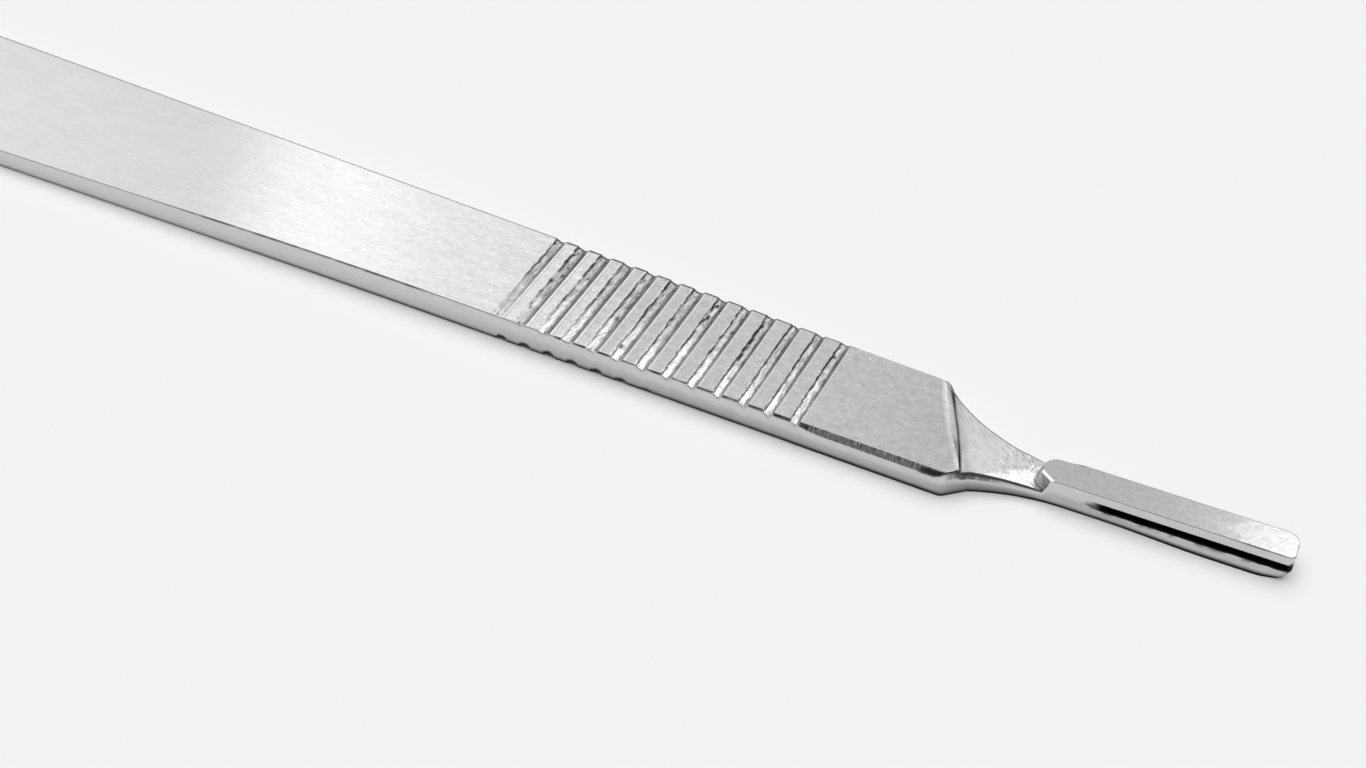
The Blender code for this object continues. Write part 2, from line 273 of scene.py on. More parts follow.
@dataclass(frozen=True)
class GripGrooves:
    """The row of cross grooves: each a steep rear wall, a torn slope and a curved rise.

    Lengths across a groove are shares of the way from its rear edge to its front edge.

    Attributes:
        first_edge: Front edge of the rearmost groove.
        pitch: Distance from groove to groove.
        count: Number of grooves.
        narrow: Width of the rearmost groove.
        wide: Width of the next ones.
        narrowing: How much narrower the frontmost ones are.
        wander: How far the rear edges wander.
        far_depth: Depth at the far side.
        near_first: Depth of the rearmost groove at the near side.
        near_last: Depth of the frontmost groove at the near side.
        bend: Power with which the near depth grows along the row.
        half_span: Half of the width over which the depth changes.
        full_depth: Depth from which a groove shows all its marks.
        wall_share: Width of the steep rear wall.
        lowest: Where the groove is deepest.
        uneven: How much the depth varies from place to place.
        torn_relief: Height of the torn relief.
        torn_depth: Depth from which the relief is full.
        lip: Height of the lips beside a groove.
        edge_jitter: Wander and gaps of the rear edges.
        coarse: Larger torn scales.
        fine: Smaller ones.
        breadth: Slow changes from groove to groove.
        scratch_x: Where a long scratch across the first lands begins and ends.
        scratch_y: Place across of the scratch at its start.
        scratch_slope: How it falls towards the near side.
    """

    first_edge: float = 8.55
    pitch: float = 1.85
    count: int = 13
    narrow: float = 0.80
    wide: float = 0.93
    narrowing: float = 0.20
    wander: float = 0.05
    far_depth: float = 0.20
    near_first: float = 0.03
    near_last: float = 0.47
    bend: float = 0.75
    half_span: float = 4.4
    full_depth: float = 0.12
    wall_share: float = 0.08
    lowest: float = 0.52
    uneven: float = 0.18
    torn_relief: float = 0.046
    torn_depth: float = 0.15
    lip: float = 0.032
    edge_jitter: Grain = Grain(11, 3.0, 0.33)
    coarse: Grain = Grain(12, 0.14, 0.45)
    fine: Grain = Grain(13, 0.065, 0.15)
    breadth: Grain = Grain(14, 1.85, 1.3)
    scratch_x: tuple[float, float] = (8.6, 16.5)
    scratch_y: float = 2.09246
    scratch_slope: float = 0.2246

    def share(self, x: Array, y: Array) -> tuple[Array, Array]:
        """Find which groove a place is in, and where across the groove it lies.

        Args:
            x: Place along the handle.
            y: Place across it.

        Returns:
            The groove's index, from 0 to 1 over the row, and the share of the way from
            its rear edge to its front edge, which is outside 0 to 1 on the lands.
        """
        number = np.clip(np.round((x - self.first_edge + self.wide / 2) / self.pitch),
                         0, self.count - 1)
        row = number / (self.count - 1)
        width = (self.narrow + (self.wide - self.narrow) * Fade(0.0, 0.12).at(row)
                 - self.narrowing * Fade(0.25, 0.85).at(row))
        front = self.first_edge + self.pitch * number
        rear = front - width + self.wander * self.edge_jitter.at(number * 3.0 + 0.5, y)
        return row, (x - rear) / (front - rear)

    def toward_far(self, y: Array) -> Array:
        """Share of the way from the near side to the far side."""
        return unit((y + self.half_span) / (2 * self.half_span))

    def near_depth(self, row: Array) -> Array:
        """Depth of a groove at the near side: it grows along the row."""
        return self.near_first + (self.near_last - self.near_first) * row ** self.bend

    def depth_at(self, row: Array, y: Array) -> Array:
        """Depth of a groove at y: a straight line from the near side to the far side."""
        near = self.near_depth(row)
        return near + (self.far_depth - near) * self.toward_far(y)

    def deep(self, row: Array, y: Array) -> Array:
        """How fully a groove shows its marks, from 0 where it has no depth to 1."""
        return unit(self.depth_at(row, y) / self.full_depth)

    def inside(self, x: Array, y: Array) -> Array:
        """Whether each place lies in a groove."""
        return within(self.share(x, y)[1], 0.0, 1.0)

    def depth(self, x: Array, y: Array) -> Array:
        """How far the grooves lower the face at a place.

        The rear wall drops to half of the depth. A slope with torn relief carries on down
        to the lowest line, and a quarter wave rises from there to the front edge. A low lip
        stands along both edges.

        Args:
            x: Place along the handle.
            y: Place across it.

        Returns:
            The depth at each place, below 0 on the lips.
        """
        row, share = self.share(x, y)
        full = self.depth_at(row, y)
        inside = within(share, 0.0, 1.0)
        down = 0.5 * (Fade(0.0, self.wall_share).at(share)
                      + Fade(self.wall_share * 0.5, self.lowest + 0.1).at(share))
        rise = np.cos(unit((share - self.lowest) / (1 - self.lowest)) * math.pi / 2)
        depth = full * np.where(share < self.lowest, down, rise) * inside
        depth = depth * (1 + self.uneven * self.breadth.at(x, y))
        torn = Fade(0.05, 0.2).at(share) * (1 - Fade(0.55, 0.85).at(share)) * inside
        relief = 0.65 * self.coarse.at(x, y) + 0.6 * self.fine.at(x, y)
        depth = depth - (self.torn_relief * torn * relief
                         * np.minimum(full / self.torn_depth, 1.0))
        lips = bell(share, -0.03, 0.045) * 0.3 + bell(share, 1.07, 0.080)
        return np.where(inside, np.maximum(depth, 0.0), -self.lip * lips)

    def dark(self, x: Array, y: Array) -> Array:
        """Share of black in and beside the grooves.

        A broken line of painted shade follows each rear edge, and pits lie on the slope behind
        it.
        The slope is a little darker towards the far side, the front rise carries painted shade
        that deepens towards its edge, and one groove has larger black chips.

        Args:
            x: Place along the handle.
            y: Place across it.

        Returns:
            The share at each place, from 0 to 1.
        """
        row, share = self.share(x, y)
        toward_far = self.toward_far(y)
        on_slope = within(share, 0.0, 0.75)
        gaps = unit(0.80 + 0.7 * self.edge_jitter.at(row * 40.0 + 9.5, y * 0.8))
        # Painted shade along each rear edge, where the steep wall stands in shadow.
        line = (bell(share, 0.06, 0.075) * gaps * at_least(0.45, np.sqrt(toward_far))
                * (1.0 - 0.55 * Fade(-0.8, -3.6).at(y)))
        pits = Fade(0.35, 0.62).at(self.coarse.at(x + 31.0, y)) * on_slope
        pitted = at_least(0.25, Fade(0.25, 0.6).at(self.breadth.at(x + 11.0, y + 7.0)))
        far_darkening = on_slope * at_least(0.25, Fade(0.15, 0.8).at(toward_far))
        # Painted shade on the front rise, which mirrors dark surroundings.
        rise = (Fade(0.30, 0.94).at(share) * (share < 1.06)
                * at_least(0.4, Fade(0.0, 0.08).at(row)))
        chipped_groove = bell(row, 0.75, 0.03) * Fade(-1.2, -0.2).at(y)
        chips = (chipped_groove * bell(share, 0.13, 0.12)
                 * Fade(-0.2, 0.15).at(self.coarse.at(x + 5.0, y)))
        total = line + pits * pitted + 0.40 * rise + 0.28 * far_darkening + chips
        return unit(total) * self.deep(row, y) * 0.95

    def wear_and_sheen(self, x: Array, y: Array) -> Array:
        """Share of brightening: a painted highlight in front of each groove, and pale near
        slopes.

        The slopes carry a painted highlight at their near ends and are paler in flakes up to
        the middle. A long scratch also crosses the first lands.

        Args:
            x: Place along the handle.
            y: Place across it.

        Returns:
            The share at each place, from 0 to 1.
        """
        row, share = self.share(x, y)
        near = Fade(-1.8, -4.0).at(y)
        # Painted highlight in front of each groove, at the start of the next land.
        line = bell(share, 1.12, 0.075) * (0.70 + 0.25 * near)
        flakes = Fade(-0.6, 0.2).at(self.coarse.at(x + 17.0, 0.5 * y))
        # Painted highlight on the near ends of the slopes, and paler flakes towards the
        # middle.
        pale = np.maximum(near, 0.85 * Fade(0.8, -2.6).at(y) * flakes)
        slope = 0.70 * pale * (share > 0.10) * (1 - Fade(0.45, 0.70).at(share))
        on_land = (share < -0.05) | (share > 1.15)
        off_scratch = y - self.scratch_y + self.scratch_slope * (x - self.scratch_x[0])
        scratch = 0.4 * bell(off_scratch, 0.0, 0.09) * on_land * within(x, *self.scratch_x)
        return (line + slope * Fade(0.03, 0.16).at(row)) * self.deep(row, y) + scratch


@dataclass(frozen=True)
class UnderGrooves(GripGrooves):
    """The same row on the underside, further forward. It fades out towards the front."""

    first_edge: float = 8.90
    near_first: float = 0.26
    far_depth: float = 0.16
    row_end: float = 0.62

    def near_depth(self, row: Array) -> Array:
        """Depth of a groove at the near side: it fades to nothing along the row."""
        return self.near_first * (1 - Fade(0.25, self.row_end).at(row))


@dataclass(frozen=True)
class BladeEnd:
    """Shoulder, neck, ramp, boss, blade slots and tip, drawn along and across the nose.

    Places along the nose count from where its centre line crosses the bar's.

    Attributes:
        tip_x: Place of the tip along the handle.
        yaw: How far the nose leans to the far side.
        crossing: Place of the tip along the nose.
        length: Length of the nose.
        half: Half of its width.
        slant: Slant of the shoulder line.
        step: How far the slope drops below the top face.
        slope: Length of that slope at its widest.
        ridge_round: Length of the soft ridge before the slope.
        ridge_sag: How far the ridge sags.
        run_out: Where the ramp starts to level out, past the shoulder line.
        run_out_rise: How strongly it levels out.
        near_radius: Radius of the near neck side.
        near_tangent: Where that arc meets the nose, in front of the boss's rear line.
        far_radius: Radius of the far neck side.
        far_half: Where that arc ends, across the nose.
        far_tangent: How far behind the boss's rear line it ends.
        far_fullness: How much fuller than an arc the far side is.
        far_join: How far before the slot the far side reaches the nose's width.
        corner_soften: Softening of the shoulder's corners.
        clip_along, clip_across, clip_fall: A point of the clipped near corner, and its fall.
        tip_far_radius, tip_near_radius: Radii of the tip's corners.
        undercut_height, undercut_length, undercut_reach: Slanted undercut of the tip.
        boss_far_radius, boss_near_radius: Radii of the boss's corners.
        boss_cut, boss_angle: Start and angle of the boss's near cut.
        boss_taper: Taper of the boss's far side.
        draft: Width of the boss's drafted wall.
        bevel_width, bevel_drop: Size of the bevel on the boss.
        slot_low, slot_high, slot_depth: Levels and depth of the blade slots.
        slot_radius: Radius of a slot's run-out.
        slot_start: Where a slot begins, in front of the boss's rear line.
        slot_x: Where the slots may begin, along the handle.
        flare: How far the near lower lip stands out at its foot.
        flare_stretch: Where it does so.
        ramp_above_slot: Height of the ramp's end above the slots' floors.
        tip_sheen_start: Where the polish of the tip begins.
        ramp_sheen_width: How wide the polish of the ramp's near side grows.
        ramp_sheen_growth: Where it grows.
        rag: Ragged outlines of the polish.
        jag: Ragged lines along the walls.
    """

    tip_x: float = 62.5
    yaw: float = math.radians(2.64)
    crossing: float = 9.5
    length: float = 16.45
    half: float = 1.105
    slant: float = math.radians(27.0)
    step: float = 0.26
    slope: float = 0.49
    ridge_round: float = 0.46
    ridge_sag: float = 0.085
    run_out: float = 3.6
    run_out_rise: float = 0.020
    near_radius: float = 15.5
    near_tangent: float = 2.05
    far_radius: float = 8.6
    far_half: float = 1.73
    far_tangent: float = 1.27
    far_fullness: float = 0.15
    far_join: float = 0.9
    corner_soften: float = 0.035
    clip_along: float = -12.47
    clip_across: float = 3.56
    clip_fall: float = 0.825
    tip_far_radius: float = 0.92
    tip_near_radius: float = 0.40
    undercut_height: float = 0.72
    undercut_length: float = 0.62
    undercut_reach: float = 1.6
    boss_far_radius: float = 1.0
    boss_near_radius: float = 0.40
    boss_cut: float = 0.90
    boss_angle: float = math.radians(36.0)
    boss_taper: float = math.radians(2.0)
    draft: float = 0.27
    bevel_width: float = 0.15
    bevel_drop: float = 0.13
    slot_low: float = 0.78
    slot_high: float = 1.43
    slot_depth: float = 0.50
    slot_radius: float = 3.1
    slot_start: float = 3.2
    slot_x: float = 47.0
    flare: float = 0.27
    flare_stretch: Stretch = Stretch(50.5, 57.5, 60.2, 62.8)
    ramp_above_slot: float = 0.10
    # tip_sheen_start: Where the painted highlight of the tip begins. ramp_sheen_width: How
    # wide the painted highlight of the ramp's near side grows. ramp_sheen_growth: Where it
    # grows.
    tip_sheen_start: float = 5.7
    ramp_sheen_width: float = 1.55
    ramp_sheen_growth: Fade = Fade(42.2, 45.4)
    rag: Grain = Grain(17, 0.7, 0.45)
    jag: Grain = Grain(18, 0.55, 1.0)

    @property
    def pivot_x(self) -> float:
        """Where the nose's centre line crosses the bar's."""
        return (self.tip_x - self.crossing * math.cos(self.yaw)
                - (self.half - self.tip_near_radius) * math.sin(self.yaw))

    @property
    def boss_rear(self) -> float:
        """Rear end of the boss, along the nose."""
        return self.crossing - self.length

    @property
    def slot_rear(self) -> float:
        """Where the boss's far side turns and the slots begin, along the nose."""
        return self.boss_rear + self.slot_start

    def to_nose(self, x: Array, y: Array) -> tuple[Array, Array]:
        """Turn handle coordinates into places along and across the nose."""
        cos, sin = math.cos(self.yaw), math.sin(self.yaw)
        return (x - self.pivot_x) * cos + y * sin, y * cos - (x - self.pivot_x) * sin

    def to_handle(self, along: Array, across: Array) -> tuple[Array, Array]:
        """Turn places along and across the nose into handle coordinates."""
        cos, sin = math.cos(self.yaw), math.sin(self.yaw)
        return self.pivot_x + along * cos - across * sin, along * sin + across * cos

    def neck_across(self, along: Array, side: Side) -> Array:
        """Side outline of the neck and nose, without the tip's corner.

        Both sides are a concave arc up to a tangent. From there the near side is straight,
        and the far one narrows to the slot. The near arc is clipped by a straight line, and
        the far one is a little fuller.

        Args:
            along: Places along the nose.
            side: Which side.

        Returns:
            The outline's distance from the nose's centre line.
        """
        if side is Side.NEAR:
            tangent, radius = self.boss_rear + self.near_tangent, self.near_radius
            straight = np.full_like(along, self.half)
            root = self.half
        else:
            tangent, radius = self.boss_rear - self.far_tangent, self.far_radius
            narrowed = unit((along - tangent) / (self.slot_rear - self.far_join - tangent))
            straight = self.far_half + (self.half - self.far_half) * narrowed
            root = self.far_half
        behind = np.clip(tangent - along, 0.0, radius)
        arc = root + radius - np.sqrt(radius ** 2 - behind ** 2)
        if side is Side.FAR:
            arc = arc + self.far_fullness * Fade(0.0, 2.5).at(behind)
        else:
            clipped = self.clip_across - self.clip_fall * (along - self.clip_along)
            arc = np.maximum(arc, clipped)
        return np.where(along < tangent, arc, straight)

    def edge_across(self, along: Array, side: Side) -> Array:
        """Side outline of the neck and nose, with a quarter circle at the tip.

        Args:
            along: Places along the nose.
            side: Which side.

        Returns:
            The outline's distance from the nose's centre line.
        """
        corner = self.tip_near_radius if side is Side.NEAR else self.tip_far_radius
        into_tip = unit((along - self.crossing + corner) / corner)
        return self.neck_across(along, side) - corner * (1 - np.sqrt(1 - into_tip ** 2))

    def past_shoulder(self, x: Array, y: Array) -> Array:
        """Distance in front of the slanted shoulder line."""
        return (x - SHOULDER_X) * math.cos(self.slant) + y * math.sin(self.slant)

    def crest(self, y: Array) -> Array:
        """How far the ridge's crest bows out from the shoulder line, a shallow parabola."""
        return np.minimum(0.0178 * (y - 0.9) ** 2 - 0.05, 0.16)

    def foot(self, y: Array) -> Array:
        """Where the slope ends, past the shoulder line: it draws in towards the near side."""
        return self.slope - 0.0147 * np.maximum(1.5 - y, 0.0) ** 2

    def ramp(self, past: Array) -> Array:
        """Height of the ramp: a plane from the shoulder to the boss, with a soft run-out.

        Args:
            past: Distance in front of the shoulder line.

        Returns:
            The height at each place.
        """
        run = self.past_shoulder(*self.to_handle(self.boss_rear, 0.0))
        start = THICKNESS - self.step
        fall = (start - self.slot_low - self.ramp_above_slot) / run
        lifted = np.clip(past - self.run_out, 0.0, 3.0) ** 2
        return start - fall * past + self.run_out_rise * lifted

    def wear_and_sheen(self, x: Array, y: Array, near_edge: Array) -> Array:
        """Share of brightening, a painted highlight: on the ramp's near side by the boss, and
        on the nose's tip.

        Args:
            x: Place along the handle.
            y: Place across it.
            near_edge: Place across of the near outline in each ring.

        Returns:
            The share at each place, from 0 to 1.
        """
        along, across = self.to_nose(x, y)
        ragged = self.rag.at(x, y)
        # Painted highlight on the ramp's near side by the boss, with a ragged edge.
        width = self.ramp_sheen_width * self.ramp_sheen_growth.at(x) + 0.45 * ragged
        ramp = (Fade(0.15, -0.15).at(y - near_edge - width) * (x > 42.4)
                * (along < self.boss_rear + 0.9) * (self.outside_boss(along, across) > 0.2))
        # Painted highlight on the tip.
        tip = Fade(-0.7, 0.7).at(along - self.tip_sheen_start - 0.3 * across + 1.1 * ragged)
        return ramp + tip * (along > 0)

    def dark(self, x: Array, y: Array) -> Array:
        """Share of painted shade round the ramp and the boss.

        The slope behind the ramp darkens towards its foot. A dark line lies in the crease
        along the foot, darkest at both ends, and fades out over the ramp's first part. The
        boss's drafted wall carries painted shade, with a line along its foot.

        Args:
            x: Place along the handle.
            y: Place across it.

        Returns:
            The share at each place, from 0 to 1.
        """
        past = self.past_shoulder(x, y)
        along, across = self.to_nose(x, y)
        outside = self.outside_boss(along, across)
        crest, foot = self.crest(y), self.foot(y)
        down = unit((past - crest) / (foot - crest))
        # Painted shade on the slope, in the crease and on the boss's wall.
        slope = (0.06 + 0.30 * down) * (past > crest + 0.02) * (past < foot)
        ends = 0.25 * (Fade(1.2, 2.8).at(y) + Fade(-0.2, -2.0).at(y))
        crease = (0.70 + ends) * bell(past, foot, 0.065 + 0.10 * ends)
        settle = 0.24 * Fade(0.8, 0.0).at(past - foot) * (past > foot)
        on_wall = within(outside, 0.01, self.draft) & (along > self.boss_rear - 1.0)
        wall = (0.52 + 0.25 * Fade(-0.2, 0.7).at(across)) * on_wall
        wall_foot = 0.45 * bell(outside, self.draft, 0.05) * (past > 3.0)
        return unit(np.where(past < 3.0, slope + crease + settle, wall + wall_foot))

    def _cut_normal(self) -> tuple[float, float]:
        """Outward direction of the boss's near cut, along and across the nose."""
        turn = math.pi * 1.5 - self.boss_angle
        return math.cos(turn), math.sin(turn)

    def outside_boss(self, along: Array, across: Array) -> Array:
        """Distance outside the boss's top outline, below 0 inside it.

        It is the largest of the distances to the rear line, the far side and the near cut,
        with both corners rounded: beyond a corner it is the distance to the corner's centre
        less its radius.

        Args:
            along: Places along the nose.
            across: Places across it.

        Returns:
            The distance at each place.
        """
        rear = self.boss_rear - along
        side = (across - self.half
                + np.maximum(self.slot_rear - along, 0.0) * math.tan(self.boss_taper))
        normal = self._cut_normal()
        cut = (normal[0] * (along - self.boss_rear - self.boss_cut)
               + normal[1] * (across + self.half))
        radius = self.boss_far_radius
        beyond = (rear > -radius) & (side > -radius)
        rounded = np.hypot(np.maximum(rear + radius, 0), np.maximum(side + radius, 0)) - radius
        far = np.where(beyond, rounded, np.maximum(rear, side))
        radius = self.boss_near_radius
        from_along = along - self.boss_rear - radius
        from_across = across - self._near_centre()
        beyond = (from_across < 0) & (normal[1] * from_along - normal[0] * from_across > 0)
        near = np.where(beyond, np.hypot(from_along, from_across) - radius,
                        np.maximum(rear, cut))
        return np.maximum(far, near)

    def _near_centre(self) -> float:
        """Place across the nose of the centre of the boss's near corner.

        Returns:
            The place, from the cut's line moved inwards by the corner's radius.
        """
        normal = self._cut_normal()
        through = normal[0] * (self.boss_rear + self.boss_cut) - normal[1] * self.half
        along = self.boss_rear + self.boss_near_radius
        return (through - self.boss_near_radius - normal[0] * along) / normal[1]

    def boss_lag(self, across: Array) -> Array:
        """How far the boss's rear outline lies in front of its rear line.

        The far corner is a quarter circle, and the near one follows the cut.

        Args:
            across: Places across the nose.

        Returns:
            The distance at each place.
        """
        radius = self.boss_far_radius
        into_far = np.clip((across - self.half + radius + 0.11) / radius, 0.0, 0.995)
        into_cut = np.maximum(self._near_centre() - 0.12 - across, 0.0)
        return radius * (1 - np.sqrt(1 - into_far ** 2)) + into_cut / math.tan(self.boss_angle)

    def lip_flare(self, x: Array, side: Side) -> Array:
        """How far the near slot's lower lip stands out at its foot: most before the tip."""
        return self.flare * self.flare_stretch.at(x) * (side is Side.NEAR)

    def slot_cut(self, x: Array, y: Array) -> Array:
        """Depth of a blade slot at a side's outline.

        It runs out in a circular arc at its rear, and goes no deeper than the nose's plain
        slot floor, also at the round corners of the tip.

        Args:
            x: Place along the handle.
            y: Place across it.

        Returns:
            The depth at each place.
        """
        along, across = self.to_nose(x, y)
        run = math.sqrt(2 * self.slot_radius * self.slot_depth - self.slot_depth ** 2)
        behind = np.clip(self.slot_rear + run - along, 0.0, self.slot_radius)
        arc = np.sqrt(self.slot_radius ** 2 - behind ** 2) - self.slot_radius + self.slot_depth
        reach = np.abs(across) - self.half + self.slot_depth
        return np.where(x > self.slot_x, np.clip(reach, 0.0, np.maximum(arc, 0.0)), 0.0)

    def height(self, x: Array, y: Array, bar_top: Array) -> Array:
        """Height of the upper surface, given the height of the bar's top there.

        Before the shoulder line the top sags over a soft ridge. A short slope falls to the
        ramp, with a fine crease along its foot. The boss stands on the ramp with a drafted
        wall and a bevel, and a curved cutter mark lies on the ramp beside it.

        Args:
            x: Place along the handle.
            y: Place across it.
            bar_top: Height of the bar's top face at each place.

        Returns:
            The height at each place.
        """
        past = self.past_shoulder(x, y)
        crest, foot = self.crest(y), self.foot(y)
        beyond = past - crest
        sag = self.ridge_sag * unit(beyond / self.ridge_round + 1) ** 2
        ramp = self.ramp(past)
        ridge = THICKNESS - self.ridge_sag
        down = ridge + (self.ramp(foot) - ridge) * unit(beyond / (foot - crest))
        crease = 0.040 * bell(past, foot + 0.02, 0.055)
        settle = 0.020 * bell(past, foot + 0.25, 0.22)
        low = np.where(past < foot, down, ramp) - (crease + settle) * (beyond > 0)
        surface = np.where(beyond < 0, bar_top - sag, low)
        along, across = self.to_nose(x, y)
        outside = self.outside_boss(along, across)
        mark = 0.024 * bell(outside, 0.62, 0.05) - 0.016 * bell(outside, 0.74, 0.06)
        surface = surface + mark * (past > 2.0) * Fade(1.25, 0.8).at(np.abs(across + 0.1))
        from_boss = along - self.boss_rear
        drop = self.bevel_drop * (1 - Fade(1.2, 3.2).at(from_boss) * (across > 0))
        edge = THICKNESS - drop
        wall = edge + (ramp - edge) * unit(outside / self.draft)
        bevel = edge + drop * unit(-outside / self.bevel_width)
        boss = np.where(outside > 0, wall, bevel)
        near_boss = (outside < self.draft) & (along > self.boss_rear - 1.0)
        return np.where(near_boss, np.maximum(boss, ramp), surface)

    def pull_back(self, x: Array, y: Array, z: Array) -> tuple[Array, Array]:
        """Draw the lower points at the tip back, so that the lower lip is shorter.

        Args:
            x: Place along the handle.
            y: Place across it.
            z: Height.

        Returns:
            The moved places along and across the handle.
        """
        along, across = self.to_nose(x, y)
        reach = self.crossing - self.undercut_reach
        limit = self.crossing - self.undercut_length * unit(1 - z / self.undercut_height)
        scale = (limit - reach) / (self.crossing - reach)
        pulled = np.where(along > reach, reach + (along - reach) * scale, along)
        return self.to_handle(pulled, across)


@dataclass(frozen=True)
class Rim:
    """One side's outline, with a value for each ring.

    Attributes:
        side: Which side.
        x: Place along the handle.
        y: Place across it.
        normal_x: Outward direction along the handle.
        normal_y: Outward direction across it.
        flat: Share of the steep flat that is cut.
        inset: How far inside the outline the top's edge lies.
        foot: How far inside it the foot lies, below 0 where the lower lip stands out.
    """

    side: Side
    x: Array
    y: Array
    normal_x: Array
    normal_y: Array
    flat: Array
    inset: Array
    foot: Array

    def inwards(self, x: Array, y: Array, distance: Array) -> tuple[Array, Array]:
        """Move points inwards by a distance, square to the outline."""
        return x - distance * self.normal_x[:, None], y - distance * self.normal_y[:, None]


@dataclass(frozen=True)
class WallMarks:
    """Hatch strokes and black, much of it painted shade, along the side walls, row by row from
    the top edge down.

    Attributes:
        jag: Breaks of the dark lines.
        edge_rows: The edge and the wall's top.
        chatter_rows: Where the neck's cutter marks lie.
        low_rows: The lower half of the wall.
        slot_rows: The slot.
        lip_row: The slot's lower lip.
        under_lip_rows: The wall between the slot and the foot.
        hatched_rows: Where the nose is faintly hatched.
        foot_rows: The rounded foot.
        far_line: Levels of the far edge's dark line of painted shade, each from one place to
            the next.
    """

    jag: Grain
    edge_rows: ClassVar[slice] = slice(0, 3)
    chatter_rows: ClassVar[slice] = slice(2, 7)
    low_rows: ClassVar[slice] = slice(8, 13)
    slot_rows: ClassVar[slice] = slice(6, 10)
    lip_row: int = 10
    under_lip_rows: ClassVar[slice] = slice(11, 13)
    hatched_rows: ClassVar[slice] = slice(10, 14)
    foot_rows: ClassVar[slice] = slice(13, 16)
    far_line: tuple[tuple[float, float, float], ...] = (
        (-99.0, 7.6, 0.30), (7.6, 31.2, 0.90), (31.2, 37.5, 0.35), (37.4, 39.0, 0.75),
        (37.5, 99.0, 0.12))

    def hatch(self, rim: Rim, flat: Array, rows: int) -> Array:
        """Strength of the hatch strokes: the flats, the near neck and the near nose.

        Args:
            rim: The side's outline.
            flat: Strength along the edge, ring by ring.
            rows: Number of rows.

        Returns:
            The strength at each point, one line for each ring.
        """
        near = rim.side is Side.NEAR
        strength = np.zeros((len(rim.x), rows))
        strength[:, self.edge_rows] = flat[:, None]
        chatter = bell(rim.x, 42.2, 1.6) * (rim.x > 41.0) * near
        on_nose = Fade(46.5, 49.0).at(rim.x) * near
        for chosen, marks in ((self.chatter_rows,
                               chatter[:, None] * (0.8, 1.0, 1.0, 0.8, 0.5)),
                              (self.hatched_rows, 0.11 * on_nose[:, None])):
            strength[:, chosen] = np.maximum(strength[:, chosen], marks)
        return strength

    def near_edge(self, rim: Rim, along: Array, lands: Array, dark: Array) -> Array:
        """Painted shade: a dark line along the near edge, broken except along the neck.

        It also paints shade on the row below the line along the neck, and darkens the slot's
        ragged lip.

        Args:
            rim: The near outline.
            along: Places along the nose.
            lands: Whether each ring meets a land between two grooves.
            dark: Share of black at each point, which is added to.

        Returns:
            The line's share of black, ring by ring.
        """
        x = rim.x
        broken = unit(0.7 + 0.8 * self.jag.at_level(x, 3.5))
        neck = within(x, 39.2, 46.9)
        behind_grip = Stretch(-21.0, -15.0, 1.0, 4.5).at(x)
        tip = Fade(5.2, 6.2).at(along)
        # Painted shade on the row below the edge line along the neck.
        dark[:, 3] = 0.8 * neck * broken
        ragged = unit(0.2 + 1.6 * self.jag.at_level(1.7 * x, 9.0))
        dark[:, self.lip_row] += 0.75 * ragged * Fade(48.5, 49.5).at(x) * (x < 60.5)
        # Painted shade as the edge line itself, where the rounded edge mirrors dark
        # surroundings.
        return (broken * (0.75 * behind_grip + 0.95 * lands + 0.7 * tip)
                + 0.95 * neck + 0.25 * (x > 47.2))

    def dark(self, rim: Rim, along: Array, lands: Array, slot: Array, low: Array,
             rows: int) -> Array:
        """Share of black on a wall: painted shade on its edge line, lower half, foot and tip,
        and the black slot.

        Args:
            rim: The side's outline.
            along: Places along the nose.
            lands: Whether each ring meets a land between two grooves.
            slot: Depth of the slot.
            low: Height of the underside at the wall.
            rows: Number of rows.

        Returns:
            The share at each point, one line for each ring.
        """
        x = rim.x
        dark = np.zeros((len(x), rows))
        if rim.side is Side.NEAR:
            line = self.near_edge(rim, along, lands, dark)
        else:
            line = sum(level * ((x > start) & (x <= end))
                       for start, end, level in self.far_line)
        # Painted shade along the top edge on both sides.
        dark[:, self.edge_rows] = line[:, None] * (0.9, 1.0, 0.75)
        # Painted shade on the lower half of the wall, where it mirrors the floor's shadow.
        for stretch, levels in (
                (Stretch(-8.0, 30.0, 45.0, 47.5), (0.16, 0.18, 0.20, 0.24, 0.34)),
                (Stretch(39.5, 42.0, 46.0, 50.0), (0.08, 0.14, 0.20, 0.24, 0.28))):
            dark[:, self.low_rows] += stretch.at(x)[:, None] * levels
        on_nose = Fade(46.0, 48.0).at(x)
        dark[:, self.under_lip_rows] *= 1.0 - 0.4 * on_nose[:, None]
        in_slot = Fade(0.30, 0.50).at(slot)[:, None] * (0.75, 1.0, 1.0, 0.75)
        dark[:, self.slot_rows] = np.maximum(dark[:, self.slot_rows], in_slot)
        # Painted contact shadow on the rounded foot, deeper towards the front and over the
        # underside's notches.
        notched = unit(low / 0.08)
        ahead = Fade(4.0, 30.0).at(x)
        foot = np.column_stack((
            0.45 + np.maximum(0.4 * notched, 0.25 * ahead - 0.35 * on_nose),
            0.90 + 0.1 * np.maximum(notched, ahead), np.ones_like(x)))
        dark[:, self.foot_rows] = foot * at_least(0.55, Fade(-25.0, 8.0).at(x))[:, None]
        return dark


